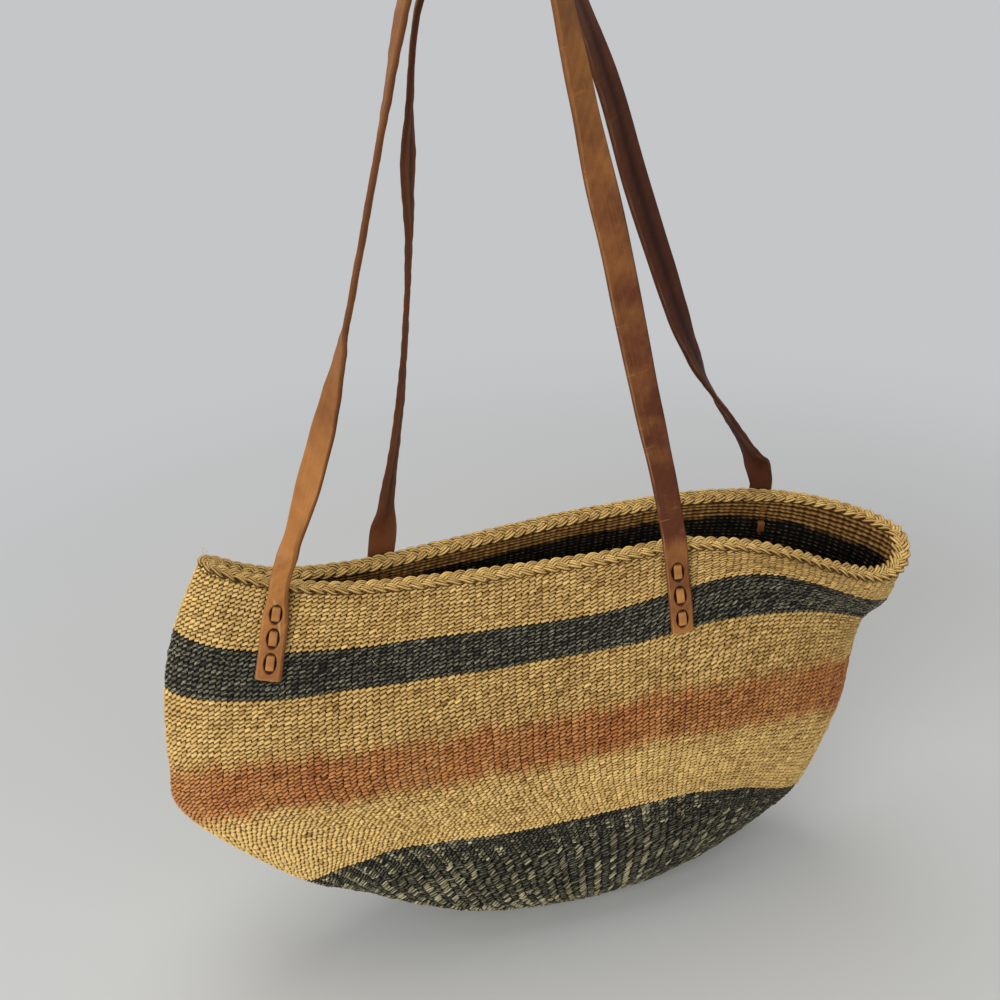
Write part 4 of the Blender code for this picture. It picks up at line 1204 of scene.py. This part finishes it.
def build_lace(tab, material):
    """A flat leather lace that runs out and in through the strap end and the wall."""
    end = StrapEnd(tab)
    outer = STRAP_THICKNESS / 2 - RECESS_DEPTH + LACE_THICKNESS / 2
    inner = -STRAP_THICKNESS / 2 - SEAT_GAP - WALL - LACE_BACK_GAP - LACE_THICKNESS / 2
    holes = []
    for stitch in range(STITCH_COUNT):
        middle = FIRST_STITCH_DROP + stitch * STITCH_PITCH
        holes += [middle - STITCH_LENGTH / 2, middle + STITCH_LENGTH / 2 - LACE_LIFT]
    route = [(holes[0] - LACE_TOP_TAIL, inner)]
    for number, hole in enumerate(holes):
        levels = (inner, outer) if number % 2 == 0 else (outer, inner)
        route += [(hole, level) for level in levels]
    route.append((holes[-1] + LACE_FOOT_TAIL, inner))
    route = np.array(route)
    walked = lengths_along(route)
    goals = np.arange(0.0, walked[-1], LACE_STEP)
    drops, levels = soften(read_along(goals, walked, route), LACE_SOFTENING).T
    half = np.full(len(drops), LACE_WIDTH / 2)
    press = np.zeros(len(drops))
    for top, foot in zip(holes[::2], holes[1::2]):
        share = (drops - top) / (foot - top)
        shown = smooth_step(inner * 0.5, outer, levels) * ((share > -0.2) & (share < 1.2))
        from_top = np.clip(share, 0.0, LACE_ROUND_SHARE) / LACE_ROUND_SHARE
        round_top = np.sqrt(np.clip(1 - (1 - from_top) ** 2, 0.0, 1.0))
        half = half * (1 - shown * LACE_TAPER_SHARE * (1 - round_top))
        levels = levels + shown * LACE_DOME * np.sin(pi * np.clip(share * 0.9, 0.0, 1.0)) ** 0.8
        # The lace darkens where it dives into its holes: painted shade.
        press = press + shown * (1 - smooth_step(0.02, 0.12, share))
        press = press + shown * smooth_step(1.0, 1.06, share)
    middle, outward, down = end.frames(drops)
    places = middle + outward * levels[:, None]
    tangent = unit(np.gradient(places, axis=0))
    across = unit(np.cross(outward, down))
    across = unit(across - tangent * (across * tangent).sum(-1, keepdims=True))
    turn = circle(LACE_SIDES)
    a = np.sign(np.cos(turn)) * np.abs(np.cos(turn)) ** 0.5
    b = np.sign(np.sin(turn)) * np.abs(np.sin(turn)) ** 0.75
    rings = sweep(
        places, across, np.cross(tangent, across), a * half[:, None], b * LACE_THICKNESS / 2)
    tubes = Tubes("leather", 1, 2)
    tubes.add(rings, goals[-1], 4 * LACE_WIDTH / 2, {
        "tone": LACE_TONES[end.side] + 0.2 * ripple(21, goals[:, None] * 60, 0, (1, 2.2)),
        "edge": (np.abs(a) > 0.9) * 0.6, "press": np.clip(press, 0.0, 1.0)[:, None],
        # Runs inside the wall are darkened like a flesh side: painted shade inside the bag.
        "inner": (levels < inner / 2)[:, None] * 1.0, "worn": (np.abs(a) > 0.8) * 0.6})
    lace = tubes.build(tab + "_lacing", material, "lace_leather")
    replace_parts(lace, tab + "_lace")


def build_braid(material):
    """The plaited edge: three strands of three yarns each, plaited all round the rim."""
    count = BRAID_REPEATS * BRAID_STEPS
    fine = np.linspace(0.0, 1.0, 2 * RING_READINGS - 1)
    turns = np.interp(even_places(wall(np.zeros_like(fine), fine), count)[:-1], fine, fine)
    place, outward, _, down = wall_frames(np.zeros(count), turns)
    centre = soften(place - outward * WALL / 2, BRAID_SOFTENING, True)
    outward = unit(soften(outward, BRAID_SOFTENING, True))
    down = unit(soften(down, BRAID_SOFTENING, True))
    around = ways_round(centre)
    tilt = np.radians(BRAID_TILT - BRAID_TILT_CHANGE * np.sin(2 * pi * turns))[:, None]
    normal = outward * np.cos(tilt) - down * np.sin(tilt)
    normal = unit(normal - around * (normal * around).sum(-1, keepdims=True))
    across = np.cross(around, normal)
    swell = 1 + BRAID_SWELL * smooth_hill(BRAID_SWELL_TURNS, turns)
    share = np.arange(count) / count
    turn = circle(BRAID_SIDES)
    tubes = Tubes("yarn", 9, 5)
    local = np.random.default_rng(61)
    length = lengths_along(centre)[-1] * 1.2 / BRAID_STITCH
    for strand in range(3):
        angle = 2 * pi * (BRAID_REPEATS * share + strand / 3)
        sway = BRAID_SWAY * swell * (1 + 0.08 * column_noise(62 + strand, share, (17, 31, 53)))
        path = centre - across * (sway * np.sin(angle))[:, None]
        path = path + normal * (BRAID_DEPTH * swell * np.sin(2 * angle))[:, None]
        along = ways_round(path)
        side = unit(np.cross(along, normal))
        out = np.cross(side, along)
        under = smooth_step(-0.2, -0.9, np.sin(2 * angle))[:, None] * (np.sin(turn) > 0)
        over = smooth_step(0.2, 0.9, np.sin(2 * angle))[:, None] * (np.sin(turn) < 0)
        # This relief only shades the yarn: painted shade between the yarns and where one strand
        # passes under another.
        relief = 0.24 + 0.76 * smooth_step(0.5, 0.98, np.abs(np.sin(turn)))
        relief = relief * (1 - 0.45 * np.maximum(under, over))
        for yarn in (-1, 0, 1):
            wander = column_noise(70 + 3 * strand + yarn, share, (61, 97, 141))
            offset = yarn * BRAID_YARN_RADIUS * BRAID_YARN_SPACING * swell
            line = path + side * (offset + BRAID_YARN_WANDER * wander)[:, None]
            line = line + out * (BRAID_YARN_RISE * (1 - yarn * yarn))
            radius = 1 + 0.10 * column_noise(80 + yarn, share, (88, 133, 190))
            radius = (BRAID_YARN_RADIUS * swell * radius)[:, None]
            rings = sweep(line, side, out, radius * np.cos(turn), radius * np.sin(turn))
            tone = local.normal(0.0, 0.8) + 1.3 * column_noise(90 + strand, share, (44, 87, 131))
            tubes.add(rings, length, 1.6, {"tone": tone[:, None], "relief": relief},
                      local.uniform(0, 40, 2), True)
    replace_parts(tubes.build("rim_plait", material, "plaited_sisal"), "rim_braid")


def build_fibres(material):
    """Loose ends of fibre that stand off the yarn."""
    local = np.random.default_rng(77)
    tubes = Tubes("yarn", FIBRE_COUNT, 1)
    turn = circle(3)
    for number in range(FIBRE_COUNT):
        at_rim = number % 3 == 0
        kind = RIM_FIBRE if at_rim else WALL_FIBRE
        row = np.array(local.uniform(*kind["rows"]))
        place, outward, around, down = wall_frames(row, np.array(local.random()))
        way = around * local.choice((-1, 1)) * local.uniform(0.5, 1.0)
        way = way + outward * local.uniform(0.1, 0.55) + down * local.uniform(-0.8, 0.4)
        if at_rim:
            way = way - down * local.uniform(0.2, 0.9)
            place = place - down * RIM_BRAID_WIDTH * 0.45
        way = unit(way)
        length = local.uniform(*kind["lengths"])
        curl = local.normal(0.0, 1.0, 3) * 0.2 + np.array((0.0, 0.0, -0.18))
        line = [place + outward * FIBRE_START]
        for _ in range(FIBRE_STEPS):
            line.append(line[-1] + way * length / FIBRE_STEPS)
            way = unit(way + curl * 0.45 + local.normal(0.0, 0.07, 3))
        line = np.array(line)
        tangent = unit(np.gradient(line, axis=0))
        side = unit(np.cross(tangent, outward + 0.01))
        radius = (FIBRE_RADIUS * np.linspace(1.0, 0.45, len(line)))[:, None]
        rings = sweep(
            line, side, np.cross(side, tangent), radius * np.cos(turn), radius * np.sin(turn))
        tubes.add(rings, 2.0, 0.3, {"tone": local.normal(1.0, 0.8), "relief": 1.0},
                  local.uniform(0, 40, 2))
    tubes.build("loose_fibres", material, "natural_sisal")


def place_floor():
    """A pale floor that fades into the backdrop's colour further off."""
    mesh = bpy.data.meshes.new("floor")
    size = FLOOR_SIZE / 2
    corners = [(x * size, y * size, FLOOR_LEVEL) for x, y in ((-1, -1), (1, -1), (1, 1), (-1, 1))]
    mesh.from_pydata(corners, [], [(0, 1, 2, 3)])
    material, nodes, shader = new_material("floor_paper", 0.85, 0.15)
    nodes.join(srgb(*FLOOR_COLOUR), shader.inputs["Base Color"])
    place = nodes.add("ShaderNodeTexCoord").outputs["Object"]
    distance = nodes.add("ShaderNodeVectorMath", {"operation": "LENGTH"}, {0: place})
    far = nodes.fit(distance.outputs["Value"], FLOOR_FADE_START, FLOOR_FADE_END,
                    curve="SMOOTHSTEP")
    seen = nodes.add("ShaderNodeLightPath").outputs["Is Camera Ray"]
    backdrop = nodes.add("ShaderNodeEmission", None, {"Color": srgb(*BACKDROP_COLOUR)})
    nodes.cover(nodes.times(far, seen), shader.outputs[0], backdrop.outputs[0], "Material Output")
    mesh.materials.append(material)
    place_object("floor", mesh)


def light_scene():
    """A soft surround, which shows the backdrop's colour, and three round lamps."""
    world = bpy.data.worlds.new("studio")
    world.use_nodes = True
    bpy.context.scene.world = world
    nodes = Nodes(world.node_tree)
    background = world.node_tree.nodes["Background"]
    nodes.join(srgb(*WORLD_COLOUR), background.inputs["Color"])
    background.inputs["Strength"].default_value = WORLD_STRENGTH
    backdrop = nodes.add("ShaderNodeBackground", None, {
        "Color": srgb(*BACKDROP_COLOUR), "Strength": 1.0})
    path = nodes.add("ShaderNodeLightPath").outputs
    straight = nodes.math("MAXIMUM", path["Is Camera Ray"], path["Is Glossy Ray"])
    nodes.cover(straight, background.outputs[0], backdrop.outputs[0], "World Output")
    for name, place, size, power in LAMPS:
        lamp = bpy.data.lights.new(name, "AREA")
        lamp.shape = "DISK"
        lamp.size = size
        lamp.energy = power
        thing = place_object(name, lamp)
        thing.location = place
        aim = Vector(LAMP_AIM) - Vector(place)
        thing.rotation_euler = aim.to_track_quat("-Z", "Y").to_euler()


def place_camera():
    """The camera looks down on the bag from a little left of its front, and is rolled a little."""
    azimuth, elevation, roll = (radians(angle) for angle in CAMERA_ANGLES)
    back = Vector((sin(azimuth) * cos(elevation), -cos(azimuth) * cos(elevation), sin(elevation)))
    right = (-back).cross(Vector((0, 0, 1))).normalized()
    up = back.cross(right)
    turned_right = right * cos(roll) + up * sin(roll)
    turned_up = up * cos(roll) - right * sin(roll)
    camera = bpy.data.cameras.new("camera")
    camera.sensor_width = SENSOR_WIDTH
    camera.lens = SENSOR_WIDTH * FOCAL_PIXELS / IMAGE_PIXELS
    thing = place_object("camera", camera)
    turn = Matrix((turned_right, turned_up, back)).transposed()
    thing.matrix_world = Matrix.Translation(CAMERA_PLACE) @ turn.to_4x4()
    bpy.context.scene.camera = thing


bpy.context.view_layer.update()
place_floor()
light_scene()
place_camera()
bpy.context.scene.view_settings.view_transform = "Standard"

YARNS = {kind: yarn_material(kind) for kind in ("natural", "rust", "charcoal", "mottled")}
BANDS = (
    ("top_band_weave", "top_natural_band", RIM_ROW, CHARCOAL_TOP_ROW, "natural"),
    ("charcoal_band_weave", "charcoal_band", CHARCOAL_TOP_ROW, CHARCOAL_FOOT_ROW, "charcoal"),
    ("middle_band_weave", "middle_natural_band", CHARCOAL_FOOT_ROW, RUST_TOP_ROW, "natural"),
    ("rust_band_weave", "rust_band", RUST_TOP_ROW, RUST_FOOT_ROW, "rust"),
    ("lower_band_weave", "lower_natural_band", RUST_FOOT_ROW, BASE_TOP_ROW, "natural"),
    ("base_band_weave", "base_band", BASE_TOP_ROW, FOOT_ROW + 1, "mottled"),
)
for index, (name, cad_node, top_row, foot_row, kind) in enumerate(BANDS):
    add_dyes(build_band(
        name, cad_node, top_row, foot_row, YARNS[kind], kind + "_sisal", 100 + index))

LEATHERS = {kind: leather_material(kind + "_hide", *HIDES[kind]) for kind in HIDES}
build_strap("front", LEATHERS["tan"], "tan_leather")
build_strap("back", LEATHERS["brown"], "brown_leather")
for tab in TAB_PLACE_SHARES:
    build_lace(tab, LEATHERS["lace"])
build_braid(YARNS["natural"])
build_fibres(YARNS["natural"])
